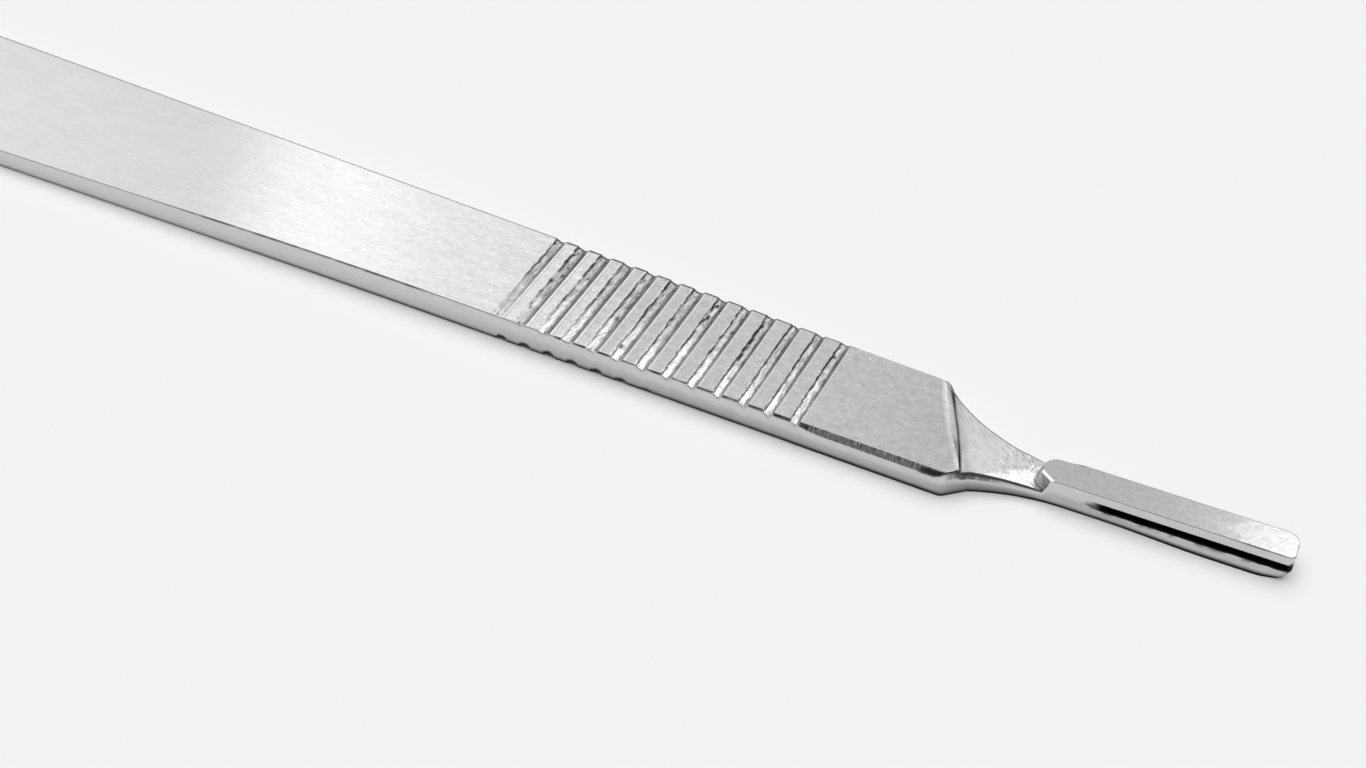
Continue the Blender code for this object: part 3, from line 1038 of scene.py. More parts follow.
@dataclass(frozen=True)
class HandleSurface:
    """The whole handle as one closed skin of cross-section rings.

    A ring is a line across the top, a wall, a line back across the underside and another
    wall. The rings are square to the bar in the grip, lean to the shoulder's slant, follow
    the boss's rear outline and end square to the nose.

    Attributes:
        bar: The flat bar.
        grooves: The grooves of the top face.
        under: The grooves of the underside.
        end: The blade end.
        top_points: Points of a ring across the top.
        shelf_points: How many of them stand outside the boss's far wall.
        bottom_points: Points across the underside.
        edge_runs: First and last station and their number, round each groove's edge.
        front_runs: The same in front of the grip.
        lean_rise: Where the rings start to lean and lean fully.
        lean_back: Where they turn square to the nose.
        lag_rise: Where they start to follow the boss's rear outline, along the nose.
        lag_end: Where they no longer do.
        bevel_rows: Rows of the edge: straight share, and its place on a plain bevel.
        upper_rows: Rows above and in the slot: share of the bar's wall, share of the way
            from the slot's mouth to the lip on the nose, share of the slot's depth, offset.
        lower_rows: Rows in and below the slot, from the foot to the mouth's lower edge.
        free_row: First row that the lower lip's flare moves.
    """

    bar: Bar = Bar()
    grooves: GripGrooves = GripGrooves()
    under: UnderGrooves = UnderGrooves()
    end: BladeEnd = BladeEnd()
    top_points: int = 59
    shelf_points: int = 9
    bottom_points: int = 21
    edge_runs: tuple[tuple[float, float, int], ...] = ((-1.06, 0.20, 29), (0.26, 0.71, 6))
    front_runs: tuple[tuple[float, float, int], ...] = (
        (31.65, 39.1, 24), (39.13, 40.27, 39), (40.35, 45.0, 42), (45.03, 46.73, 69),
        (46.8, 49.0, 20), (49.1, 51.2, 26))
    lean_rise: Fade = Fade(31.6, 39.0)
    lean_back: Fade = Fade(40.3, 44.8)
    lag_rise: Fade = Fade(-8.9, -7.5)
    lag_end: float = -3.6
    bevel_rows: tuple[tuple[float, float, float], ...] = (
        (1 / 3, 0.62, 0.14), (2 / 3, 0.06, 0.80))
    upper_rows: tuple[tuple[float, ...], ...] = (
        (0.93, 0.85, 0.0, 0.0), (0.86, 0.40, 0.0, 0.0), (0.70, 0.0, 0.0, 0.0),
        (0.67, 0.0, 0.15, -0.02), (0.62, 0.0, 1.0, -0.05))
    lower_rows: tuple[tuple[float, ...], ...] = (
        (0.45, 1.0, 1.0, 0.05), (0.38, 1.0, 0.15, 0.02), (0.33, 1.0, 0.0, 0.0),
        (0.20, 0.55, 0.0, 0.0), (0.08, 0.2, 0.0, 0.0))
    free_row: int = 10

    def stations(self) -> Array:
        """Where the rings cross the centre line, closer where the form changes faster.

        Returns:
            The places along the handle, from the rear end to the tip.
        """
        end, bar, grooves = self.end, self.bar, self.grooves
        turn = np.linspace(0.0, math.pi / 2, 26)[1:]
        rounding = bar.rear_x + bar.tail_rounding * (1 - np.cos(turn))
        last = end.pivot_x + end.crossing / math.cos(end.yaw)
        front_edges = grooves.first_edge + grooves.pitch * np.arange(grooves.count)
        around_edge = np.concatenate([np.linspace(*run) for run in self.edge_runs])
        into_tip = last - 1.9 * (1 - np.sin(np.linspace(0.0, math.pi / 2, 34)))
        return np.concatenate([
            [bar.rear_x], rounding, np.linspace(rounding[-1], -20.0, 22)[1:],
            np.linspace(-19.6, 7.4, 60), (front_edges[:, None] + around_edge).reshape(-1),
            *(np.linspace(*run) for run in self.front_runs),
            np.linspace(51.4, last - 2.0, 34), into_tip])

    def lean(self, station: Array) -> Array:
        """How far a ring's line falls back for each unit across, from square to slanted."""
        back = self.lean_back.at(station)
        return (math.tan(self.end.slant) * self.lean_rise.at(station) * (1 - back)
                + math.tan(self.end.yaw) * back)

    def place(self, station: Array, y: Array) -> Array:
        """Place along the handle of a ring's point, found by repeated substitution.

        Args:
            station: Where the ring crosses the centre line.
            y: The point's place across the handle.

        Returns:
            The place along the handle.
        """
        end = self.end
        along = (station - end.pivot_x) * math.cos(end.yaw)
        follow = (self.lag_rise.at(along)
                  * (1 - Fade(end.boss_rear + 0.25, self.lag_end).at(along)))
        line = station - self.lean(station) * y
        x = line
        for _ in range(4):
            x = line + follow * end.boss_lag(end.to_nose(x, y)[1])
        return x

    def edges(self, station: Array, side: Side) -> tuple[Array, Array]:
        """Find where each ring meets one side's outline.

        The outline is the smaller of the bar's half width and the neck's, softened where
        they meet. The meeting point is found by repeated substitution.

        Args:
            station: The rings' stations.
            side: Which side.

        Returns:
            Place along and place across of each ring's edge.
        """
        y = side * self.bar.half_width(station)
        soften = self.end.corner_soften
        for _ in range(60):
            x = self.place(station, y)
            along, _ = self.end.to_nose(x, y)
            neck_across = side * self.end.edge_across(along, side)
            neck = side * self.end.to_handle(along, neck_across)[1]
            bar = self.bar.half_width(x)
            gap = unit(0.5 + (neck - bar) / (4 * soften))
            target = neck * (1 - gap) + bar * gap - 2 * soften * gap * (1 - gap)
            target = np.where(station < 33.0, bar, target)
            y = 0.4 * y + 0.6 * side * target
        return self.place(station, y), y

    def outward(self, x: Array, y: Array, side: Side) -> tuple[Array, Array]:
        """Outward direction of an outline, square to its run from ring to ring.

        Args:
            x: Place along of the outline.
            y: Place across of it.
            side: Which side.

        Returns:
            The direction along and across the handle.
        """
        run_x, run_y = np.gradient(x), np.gradient(y)
        length = np.hypot(run_x, run_y) + 1e-9
        normal_x, normal_y = -side * run_y / length, side * run_x / length
        normal_x[0], normal_y[0] = -1.0, 0.0
        normal_x[-1], normal_y[-1] = math.cos(self.end.yaw), math.sin(self.end.yaw)
        return normal_x, normal_y

    def edge_share(self, x: Array) -> Array:
        """Size of the broken edge as a share of the bar's: half of it along the nose."""
        return 1 - 0.5 * Fade(45.6, 46.4).at(x)

    def foot_size(self, x: Array) -> Array:
        """How far the rounded foot draws in: least towards the blade end."""
        return self.bar.foot_inset * (1 - 0.75 * Fade(27.5, 32.0).at(x))

    def rim(self, station: Array, side: Side) -> Rim:
        """Work out one side's outline and what is cut from it.

        Args:
            station: The rings' stations.
            side: Which side.

        Returns:
            The outline.
        """
        bar = self.bar
        x, y = self.edges(station, side)
        flat = bar.flat_share(x, side)
        plain = bar.edge_inset if side is Side.NEAR else bar.far_edge_inset
        edge = plain * self.edge_share(x)
        inset = edge + (bar.flat_inset - edge) * flat
        foot = self.foot_size(x) - self.end.lip_flare(x, side)
        return Rim(side, x, y, *self.outward(x, y, side), flat, inset, foot)

    def spread(self, near: Array, far: Array, station: Array) -> Array:
        """Places across of the top's points, from the near edge to the far edge.

        They are even, a little closer at the edges. Beside the boss, the last ones crowd
        outside its far wall, where a narrow shelf of the neck's root remains.

        Args:
            near: Place across of each ring's near edge.
            far: Place across of each ring's far edge.
            station: The rings' stations.

        Returns:
            One row of places for each ring.
        """
        end = self.end
        even = np.linspace(-1.0, 1.0, self.top_points)
        share = (1 + 0.72 * even + 0.28 * np.sin(even * math.pi / 2)) / 2
        plain = near[:, None] + (far - near)[:, None] * share
        along = (station - end.pivot_x) * math.cos(end.yaw)
        inner = (along * math.sin(end.yaw) + end.half - end.bevel_width
                 - np.maximum(end.slot_rear - along, 0) * math.tan(end.boss_taper))
        inner = np.minimum(inner, far - 0.12)
        on_boss = np.linspace(0, 1, self.top_points - self.shelf_points)
        on_shelf = np.linspace(1 / self.shelf_points, 1, self.shelf_points)
        split = np.hstack((near[:, None] + (inner - near)[:, None] * on_boss,
                           inner[:, None] + (far - inner)[:, None] * on_shelf))
        gone = Fade(end.slot_rear + 0.1, end.slot_rear + 1.5).at(along)
        beside = (Fade(-10.5, -7.6).at(along) * (1 - gone))[:, None]
        return plain * (1 - beside) + split * beside

    def top(self, station: Array, near: Rim, far: Rim) -> Patch:
        """Points of the top face, with the grooves and the blade end cut.

        Args:
            station: The rings' stations.
            near: The near outline.
            far: The far outline.

        Returns:
            The points and their marks, one line for each ring.
        """
        y = self.spread(near.y, far.y, station)
        x = self.place(station[:, None], y)
        share = np.linspace(0.0, 1.0, self.top_points)
        for rim, weight in ((near, 1 - share), (far, share)):
            x, y = rim.inwards(x, y, rim.inset[:, None] * weight)
        in_grip = x < GRIP_END
        bar_top = self.bar.top(x) - self.grooves.depth(x, y) * in_grip
        z = np.minimum(self.end.height(x, y, bar_top), HIGHEST)
        dark = self.grooves.dark(x, y) * in_grip + self.end.dark(x, y)
        # Painted shade as dark lines along the far edge over the grip and the near edge of the
        # neck.
        far_row = within(far.x, self.grooves.first_edge - 0.9, GRIP_END)
        near_neck = within(near.x, 41.3, 46.9)
        for column, line in ((-1, 0.85 * far_row), (0, 0.9 * near_neck)):
            dark[:, column] = np.maximum(dark[:, column], line)
        wear_and_sheen = self.end.wear_and_sheen(x, y, near.y[:, None]) + self.grooves.wear_and_sheen(x, y) * in_grip
        return {"x": x, "y": y, "z": z, "hatch": np.zeros_like(z), "dark": dark,
                "wear_and_sheen": wear_and_sheen}

    def bottom(self, near: Rim, far: Rim) -> Patch:
        """Points of the underside, with its grooves cut.

        Args:
            near: The near outline.
            far: The far outline.

        Returns:
            The points and their marks, one line for each ring.
        """
        share = np.linspace(0.0, 1.0, self.bottom_points)
        x = near.x[:, None] + (far.x - near.x)[:, None] * share
        y = near.y[:, None] + (far.y - near.y)[:, None] * share
        for rim, weight in ((near, 1 - share), (far, share)):
            x, y = rim.inwards(x, y, rim.foot[:, None] * weight)
        z = np.maximum(self.under.depth(x, y), 0.0)
        # Painted shade in the underside's grooves and along its edges, where they lie in the
        # floor's shadow.
        dark = 0.95 * self.under.inside(x, y)
        dark[:, [0, -1]] = 0.95
        plain = np.zeros_like(z)
        return {"x": x, "y": y, "z": z, "hatch": plain, "dark": dark, "wear_and_sheen": plain}

    def wall(self, rim: Rim, top: Array, low: Array) -> Patch:
        """Points of one side wall, from the top edge down to the foot.

        The edge is a narrow bevel, or a steep flat where the flat is cut, then come
        plain wall points, the blade slot's mouth and floor, and the rounded foot. On the
        nose the wall points follow the slot, elsewhere they are shares of the height.

        Args:
            rim: The side's outline.
            top: Height of the upper surface at the edge.
            low: Height of the underside at the edge.

        Returns:
            The points and their marks, one line for each ring.
        """
        bar, end = self.bar, self.end
        plain = np.zeros_like(top)
        under_edge = top - np.minimum(bar.edge_drop * self.edge_share(rim.x), (top - low) / 4)
        flat_line = bar.top(rim.x) - bar.flat_drop * rim.flat
        wall_top = np.where(rim.flat > 0.001, np.minimum(under_edge, flat_line), under_edge)
        drop = top - wall_top
        rise = np.minimum(bar.foot_rise, (top - low) / 3)
        wall_low = low + rise
        points = []
        for straight, bevel_back, bevel_down in self.bevel_rows:
            back = bevel_back * (1 - rim.flat) + (1 - straight) * rim.flat
            down = bevel_down * (1 - rim.flat) + straight * rim.flat
            points.append((rim.inset * back, top - drop * down))
        points.append((plain, wall_top))
        slot = end.slot_cut(rim.x, rim.y)
        opening = np.maximum(np.sqrt(unit(slot / (0.6 * end.slot_depth))), 0.35)
        opening = opening * (end.slot_high - end.slot_low) / 2
        middle = (end.slot_low + end.slot_high) / 2
        mouth_low = middle - opening + 0.045 * end.jag.at_level(rim.x, 0.5)
        lip = THICKNESS - bar.edge_drop / 2
        on_nose = Fade(46.5, 48.5).at(rim.x)
        for start, limit, table in ((middle + opening, lip, self.upper_rows),
                                    (rise, mouth_low, self.lower_rows)):
            for bar_share, nose_share, depth, offset in table:
                on_bar = wall_low + (wall_top - wall_low) * bar_share
                level = start + (limit - start) * nose_share + offset
                points.append((slot * depth, on_bar * (1 - on_nose) + level * on_nose))
        points.append((plain, wall_low))
        foot = self.foot_size(rim.x)
        for turn in (math.pi / 6, math.pi / 3):
            points.append((foot * (1 - math.cos(turn)), low + rise * (1 - math.sin(turn))))
        back, z = (np.column_stack(layer) for layer in zip(*points))
        below = unit(1 - z[:, self.free_row:] / end.slot_low)
        back[:, self.free_row:] -= end.lip_flare(rim.x, rim.side)[:, None] * below
        x, y = rim.inwards(rim.x[:, None], rim.y[:, None], back)
        along, _ = end.to_nose(rim.x, rim.y)
        lands = within(rim.x, 12.6, 31.4) & ~self.grooves.inside(rim.x, rim.y)
        flat_marks = np.where(drop > 1.6 * bar.edge_drop, np.sqrt(rim.flat), 0.0)
        marks = WallMarks(end.jag)
        dark = marks.dark(rim, along, lands, slot, low, len(points))
        dark[along > end.crossing - 0.22, 5:] = 0.95
        return {"x": x, "y": y, "z": z, "hatch": marks.hatch(rim, flat_marks, len(points)),
                "dark": dark, "wear_and_sheen": np.zeros_like(z)}

    def skin(self) -> Patch:
        """Work out all rings: the top, the far wall, the underside and the near wall.

        Returns:
            x, y and z of every point, ring by ring, with the hatch marks' strength, the shares
            of black, mostly painted shade, and of brightening, mostly painted highlight.
        """
        station = self.stations()
        near, far = (self.rim(station, side) for side in (Side.NEAR, Side.FAR))
        top, bottom = self.top(station, near, far), self.bottom(near, far)
        walls = {column: self.wall(rim, top["z"][:, column], bottom["z"][:, column])
                 for column, rim in ((0, near), (-1, far))}
        for column, wall in walls.items():
            top["hatch"][:, column] = wall["hatch"][:, 0]
        turned = [{name: layer[:, ::-1] for name, layer in part.items()}
                  for part in (bottom, walls[0])]
        parts = (top, walls[-1], *turned)
        skin = {name: np.hstack([part[name] for part in parts]) for name in top}
        skin["x"], skin["y"] = self.end.pull_back(skin["x"], skin["y"], skin["z"])
        return skin

    @staticmethod
    def face_middle(values: Array) -> Array:
        """Mean of each face's four corners."""
        between = (values[:-1] + values[1:]) / 2
        return (between + np.roll(between, -1, axis=1)) / 2

    def finishes(self, skin: Patch) -> Array:
        """Choose each face's finish from its row and place.

        Args:
            skin: The points, ring by ring.

        Returns:
            The finish of every face, ring by ring.
        """
        end = self.end
        x, y = self.face_middle(skin["x"]), self.face_middle(skin["y"])
        wall_count = (x.shape[1] - self.top_points - self.bottom_points) // 2
        column = np.broadcast_to(np.arange(x.shape[1]), x.shape) - self.top_points
        top = column < -1
        bottom = within(column, wall_count - 1, wall_count + self.bottom_points - 1)
        along, across = end.to_nose(x, y)
        on_boss = (end.outside_boss(along, across) < 0) & (along > end.boss_rear)
        past = end.past_shoulder(x, y)
        finish = np.full(x.shape, int(Finish.EDGE))
        for chosen, kind in (
                (top | bottom, Finish.BRUSHED),
                (top & self.grooves.inside(x, y) & (x < GRIP_END), Finish.TORN),
                (bottom & self.under.inside(x, y), Finish.TORN),
                (top & (past > end.crest(y)), Finish.MILLED),
                (top & (past > 0) & on_boss, Finish.NOSE)):
            finish[chosen] = int(kind)
        return finish

    def build(self) -> bpy.types.Object:
        """Make the mesh from the rings.

        Returns:
            The handle's object, with its place in its mesh.
        """
        skin = self.skin()
        finish = self.finishes(skin)
        points = np.stack([skin[axis] for axis in "xyz"], axis=-1).reshape(-1, 3) * MM
        index = np.arange(len(points)).reshape(skin["x"].shape)
        following = np.roll(index, -1, axis=1)
        quads = np.stack((index[:-1], following[:-1], following[1:], index[1:]), axis=-1)
        faces = quads.reshape(-1, 4).tolist() + [index[0][::-1].tolist(), index[-1].tolist()]
        mesh = bpy.data.meshes.new("handle_skin")
        mesh.from_pydata(points.tolist(), [], faces)
        for name in ("hatch", "dark", "wear_and_sheen"):
            marks = mesh.attributes.new(name, "FLOAT", "POINT")
            marks.data.foreach_set("value", skin[name].reshape(-1).astype(np.float32))
        numbers = np.concatenate((finish.reshape(-1), [int(Finish.EDGE)] * 2))
        mesh.polygons.foreach_set("material_index", numbers.astype(np.int32))
        self.close(mesh)
        item = bpy.data.objects.new("handle_skin", mesh)
        bpy.context.scene.collection.objects.link(item)
        return item

    @staticmethod
    def close(mesh: bpy.types.Mesh) -> None:
        """Close seams, turn the skin outwards, smooth it and lay out its pattern map.

        Args:
            mesh: The handle's mesh.
        """
        shape = bmesh.new()
        shape.from_mesh(mesh)
        bmesh.ops.remove_doubles(shape, verts=shape.verts, dist=1e-7)
        if shape.calc_volume(signed=True) < 0:
            bmesh.ops.reverse_faces(shape, faces=shape.faces)
        shape.to_mesh(mesh)
        shape.free()
        mesh.polygons.foreach_set("use_smooth", [True] * len(mesh.polygons))
        mesh.set_sharp_from_angle(angle=math.radians(28.0))
        corner = np.zeros(len(mesh.loops), np.int32)
        mesh.loops.foreach_get("vertex_index", corner)
        places = np.zeros(len(mesh.vertices) * 3, np.float32)
        mesh.vertices.foreach_get("co", places)
        x, y, z = places.reshape(-1, 3)[corner].T
        layout = mesh.uv_layers.new(name="grain")
        pairs = np.column_stack((y - z, x)) / (100 * MM) + 0.6
        layout.data.foreach_set("uv", pairs.reshape(-1).astype(np.float32))


def grey(level: float) -> tuple[float, float, float, float]:
    """A neutral colour of the given level."""
    return (level, level, level, 1.0)


class Nodes:
    """A small helper that adds linked shader nodes to one node tree.

    Attributes:
        tree: The node tree.
        shader: Its shader node.
        place: The coordinates that patterns follow.
    """

    def __init__(self, owner: bpy.types.ID, shader: str, coordinates: str) -> None:
        """Switch an owner's nodes on and find its shader.

        Args:
            owner: The material or world.
            shader: Name of its shader node.
            coordinates: Name of the coordinates that patterns follow.
        """
        owner.use_nodes = True
        self.tree = owner.node_tree
        self.shader = self.tree.nodes[shader]
        self.place = self.add("ShaderNodeTexCoord").outputs[coordinates]

    def add(self, kind: str, **settings: object) -> bpy.types.Node:
        """Add a node and set its properties.

        Args:
            kind: The node's type name.
            settings: Properties of the node by name.

        Returns:
            The node.
        """
        node = self.tree.nodes.new(kind)
        for name, value in settings.items():
            setattr(node, name, value)
        return node

    def feed(self, socket: Socket, value: object) -> None:
        """Link a socket to another one, or set its constant.

        Args:
            socket: The input.
            value: The other socket, or the constant.
        """
        if isinstance(value, bpy.types.NodeSocket):
            self.tree.links.new(value, socket)
        else:
            socket.default_value = value

    def join(self, node: bpy.types.Node, first: int, *values: object) -> None:
        """Feed inputs from a first one on, each with a socket or a constant."""
        for number, value in enumerate(values, first):
            self.feed(node.inputs[number], value)

    def math(self, operation: str, first: object, second: object) -> Socket:
        """Add a Math node of two inputs.

        Args:
            operation: Name of the operation.
            first: First input, a socket or a number.
            second: Second input, a socket or a number.

        Returns:
            The result's socket.
        """
        node = self.add("ShaderNodeMath", operation=operation)
        self.join(node, 0, first, second)
        return node.outputs[0]

    def line(self, value: Socket, slope: float, start: float = 0.0,
             clamp: bool = False) -> Socket:
        """Add a straight line: the value times a slope, plus a start.

        Args:
            value: The value's socket.
            slope: Rise for each unit of the value.
            start: Level at 0.
            clamp: Whether the result is kept from 0 to 1.

        Returns:
            The result's socket.
        """
        node = self.add("ShaderNodeMath", operation="MULTIPLY_ADD", use_clamp=clamp)
        self.join(node, 0, value, slope, start)
        return node.outputs[0]

    def noise(self, grain: tuple[float, float, float], detail: float = 2.0,
              roughness: float = 0.5, place: Socket | None = None) -> Socket:
        """Add noise whose grains have the given lengths in millimetres.

        Args:
            grain: Length of a grain along X, Y and Z.
            detail: Number of finer layers.
            roughness: Strength of the finer layers.
            place: Coordinates in metres, where they aren't the usual ones.

        Returns:
            The noise's value, from 0 to 1.
        """
        scaled = self.add("ShaderNodeVectorMath", operation="MULTIPLY")
        self.join(scaled, 0, place or self.place, tuple(1 / (size * MM) for size in grain))
        node = self.add("ShaderNodeTexNoise")
        for name, value in (("Vector", scaled.outputs[0]), ("Scale", 1.0),
                            ("Detail", detail), ("Roughness", roughness)):
            self.feed(node.inputs[name], value)
        return node.outputs["Fac"]

    def ramp(self, value: Socket, *stops: tuple[float, float]) -> Socket:
        """Turn a value into grey through a colour ramp.

        Args:
            value: The value's socket.
            stops: Places of the ramp in order, each with its grey level.

        Returns:
            The ramp's colour socket.
        """
        node = self.add("ShaderNodeValToRGB")
        band = node.color_ramp.elements
        while len(band) < len(stops):
            band.new(0.5)
        for element, (spot, _) in zip(band, stops):
            element.position = spot
        for element, (_, level) in zip(band, stops):
            element.color = grey(level)
        self.feed(node.inputs[0], value)
        return node.outputs[0]

    def mix(self, share: object, first: object, second: object,
            blend: str = "MIX") -> Socket:
        """Blend two colours.

        Args:
            share: How much of the second colour shows.
            first: First colour, a socket or a tuple.
            second: Second colour, a socket or a tuple.
            blend: Kind of blend.

        Returns:
            The blended colour's socket.
        """
        node = self.add("ShaderNodeMix", data_type="RGBA", blend_type=blend)
        self.feed(node.inputs[0], share)
        self.join(node, 6, first, second)
        return node.outputs[2]

    def attribute(self, name: str) -> Socket:
        """Read one of the skin's attributes."""
        return self.add("ShaderNodeAttribute", attribute_name=name).outputs["Fac"]

    def axes(self) -> tuple[Socket, Socket, Socket]:
        """Split the coordinates into X, Y and Z.

        Returns:
            The three sockets.
        """
        parts = self.add("ShaderNodeSeparateXYZ")
        self.feed(parts.inputs[0], self.place)
        return tuple(parts.outputs)

    def along(self) -> Socket:
        """Place along the handle: 0 at the rear end, 0.5 midway and 1 at the tip."""
        return self.line(self.axes()[0], 1 / (HANDLE_LENGTH * MM), 0.5)

    def relief(self, *layers: tuple[Socket, object, float]) -> None:
        """Chain bumps into the shader's normal.

        Args:
            layers: For each bump its height, its strength and its depth in millimetres.
        """
        normal = None
        for height, strength, depth in layers:
            node = self.add("ShaderNodeBump")
            for name, value in (("Strength", strength), ("Distance", depth * MM),
                                ("Height", height)):
                self.feed(node.inputs[name], value)
            if normal is not None:
                self.feed(node.inputs["Normal"], normal)
            normal = node.outputs[0]
        self.feed(self.shader.inputs["Normal"], normal)

    def brighten_sheen_and_wear(self, plain: Socket, spots: Socket, level: float) -> Socket:
        """Brighten the places that the wear_and_sheen attribute marks, painted highlights
        among them, less so in spots.

        Args:
            plain: The finish's own colour.
            spots: Noise that breaks up the polish.
            level: Grey level where the brightening is full.

        Returns:
            The mixed colour's socket.
        """
        spotted = self.ramp(spots, (0.35, 0.55), (0.50, 1.0))
        share = self.math("MULTIPLY", self.attribute("wear_and_sheen"), spotted)
        return self.mix(share, plain, grey(level))


@dataclass(frozen=True)
class Steel(ABC):
    """Base of every steel finish: bare metal whose surface marks come from noise.

    Attributes:
        name: Name of the material.
        level: Grey level of the metal.
        roughness: Roughness of the metal.
        anisotropy: How far its gloss is drawn out across the brushing.
        black: Grey level of what the dark attribute marks, mostly painted shade.
    """

    name: str
    level: float
    roughness: float
    anisotropy: float = 0.0
    black: float = 0.012

    def material(self) -> bpy.types.Material:
        """Build the finish's material.

        Returns:
            The material.
        """
        material = bpy.data.materials.new(self.name)
        nodes = Nodes(material, "Principled BSDF", "Object")
        inputs = nodes.shader.inputs
        inputs["Metallic"].default_value = 1.0
        inputs["Roughness"].default_value = self.roughness
        if self.anisotropy > 0:
            inputs["Anisotropic"].default_value = self.anisotropy
            tangent = nodes.add("ShaderNodeTangent", direction_type="UV_MAP", uv_map="grain")
            nodes.feed(inputs["Tangent"], tangent.outputs[0])
        # The dark attribute mixes its black, mostly painted shade, into every finish.
        colour = nodes.mix(nodes.attribute("dark"), self.dress(nodes), grey(self.black))
        nodes.feed(inputs["Base Color"], colour)
        return material

    def around(self, low: float, high: float) -> tuple[tuple[float, float], ...]:
        """Stops of a ramp from a little below the metal's level to a little above it."""
        return (0.3, self.level + low), (0.7, self.level + high)

    @abstractmethod
    def dress(self, nodes: Nodes) -> Socket:
        """Add the finish's own marks and return its colour, before the dark attribute."""


@dataclass(frozen=True)
class BrushedSteel(Steel):
    """Lengthwise belt-brushed faces: fine streaks that spread light across the bar.

    Attributes:
        cloud: Strength of the broad clouds.
        speck: Brightness of the small specks.
        streak: Height of the streaks' relief behind the grip, as a strength.
    """

    cloud: float = 0.07
    speck: float = 0.30
    streak: float = 0.5

    def dress(self, nodes: Nodes) -> Socket:
        """Add fine streaks, short grains and broad clouds to the colour and relief.

        The streaks are strongest behind the grip, and blotches and specks take their place
        in front of it.

        Args:
            nodes: Helper of the material's node tree.

        Returns:
            The colour's socket.
        """
        fine = nodes.noise((3.0, 0.12, 0.1), 1.0, 0.6)
        short = nodes.noise((0.8, 0.14, 0.1), 2.0, 0.6)
        broad = nodes.noise((3.0, 1.2, 0.5))
        blotch = nodes.noise((0.55, 0.40, 0.5), 3.0, 0.65)
        speck = nodes.noise((0.16, 0.13, 0.2), 1.0)
        along = nodes.along()
        marked = nodes.ramp(along, (0.33, 0.35), (0.40, 1.0), (0.56, 0.9), (0.66, 0.30),
                            (0.75, 0.10))
        mottled = nodes.ramp(along, (0.40, 0.15), (0.60, 1.0))
        streaked = nodes.ramp(along, (0.56, self.streak), (0.72, 0.10))
        tone = nodes.line(broad, self.cloud, self.level - self.cloud / 2)
        for pattern, strength, share in ((fine, 0.17, marked), (short, 0.20, marked),
                                         (blotch, 0.36, mottled)):
            swing = nodes.line(pattern, strength, -strength / 2)
            tone = nodes.math("ADD", tone, nodes.math("MULTIPLY", swing, share))
        bright = nodes.ramp(speck, (0.67, 0.0), (0.74, self.speck))
        tone = nodes.math("ADD", tone, nodes.math("MULTIPLY", bright, mottled))
        colour = nodes.add("ShaderNodeCombineColor")
        nodes.join(colour, 0, tone, tone, tone)
        nodes.relief((fine, streaked, 0.008), (short, streaked, 0.002))
        return nodes.brighten_sheen_and_wear(colour.outputs[0], speck, 0.95)


@dataclass(frozen=True)
class TornSteel(Steel):
    """Groove metal that the cutter tore: bright scales and flakes with dark pits."""

    def dress(self, nodes: Nodes) -> Socket:
        """Add scales to the relief, and pits, flakes and clouds to the colour.

        Args:
            nodes: Helper of the material's node tree.

        Returns:
            The colour's socket.
        """
        scale = nodes.noise((0.20, 0.55, 0.20), 3.0, 0.6)
        pit = nodes.noise((0.08, 0.17, 0.08), 3.0, 0.7)
        flake = nodes.noise((0.30, 0.85, 0.3), 3.0, 0.6)
        cloud = nodes.noise((0.9, 0.9, 0.9))
        pitted = nodes.ramp(pit, (0.30, 0.14), (0.43, 0.42), (0.52, 0.62), (0.64, 1.0))
        flaked = nodes.ramp(flake, (0.38, 0.30), (0.50, 0.56), (0.62, 1.0))
        tone = nodes.mix(0.45, pitted, flaked)
        tone = nodes.mix(nodes.math("MULTIPLY", cloud, 0.35), tone, grey(0.52))
        nodes.relief((scale, 0.65, 0.045), (pit, 0.5, 0.016))
        return nodes.brighten_sheen_and_wear(tone, scale, 1.0)


@dataclass(frozen=True)
class EdgeSteel(Steel):
    """Side walls and edges, with dark hatch strokes where the hatch attribute asks."""

    def dress(self, nodes: Nodes) -> Socket:
        """Add a fine grain everywhere and the strokes of the flats.

        Args:
            nodes: Helper of the material's node tree.

        Returns:
            The colour's socket.
        """
        grain = nodes.noise((0.9, 0.3, 0.06), 3.0, 0.6)
        stroke = nodes.noise((0.09, 0.6, 0.9), 3.0, 0.75)
        dark = nodes.ramp(stroke, (0.35, 0.045), (0.52, 0.15), (0.68, 0.42))
        plain = nodes.ramp(grain, *self.around(-0.05, 0.03))
        nodes.relief((grain, 0.2, 0.006))
        share = nodes.line(nodes.attribute("hatch"), 1.25, clamp=True)
        return nodes.mix(share, plain, dark)


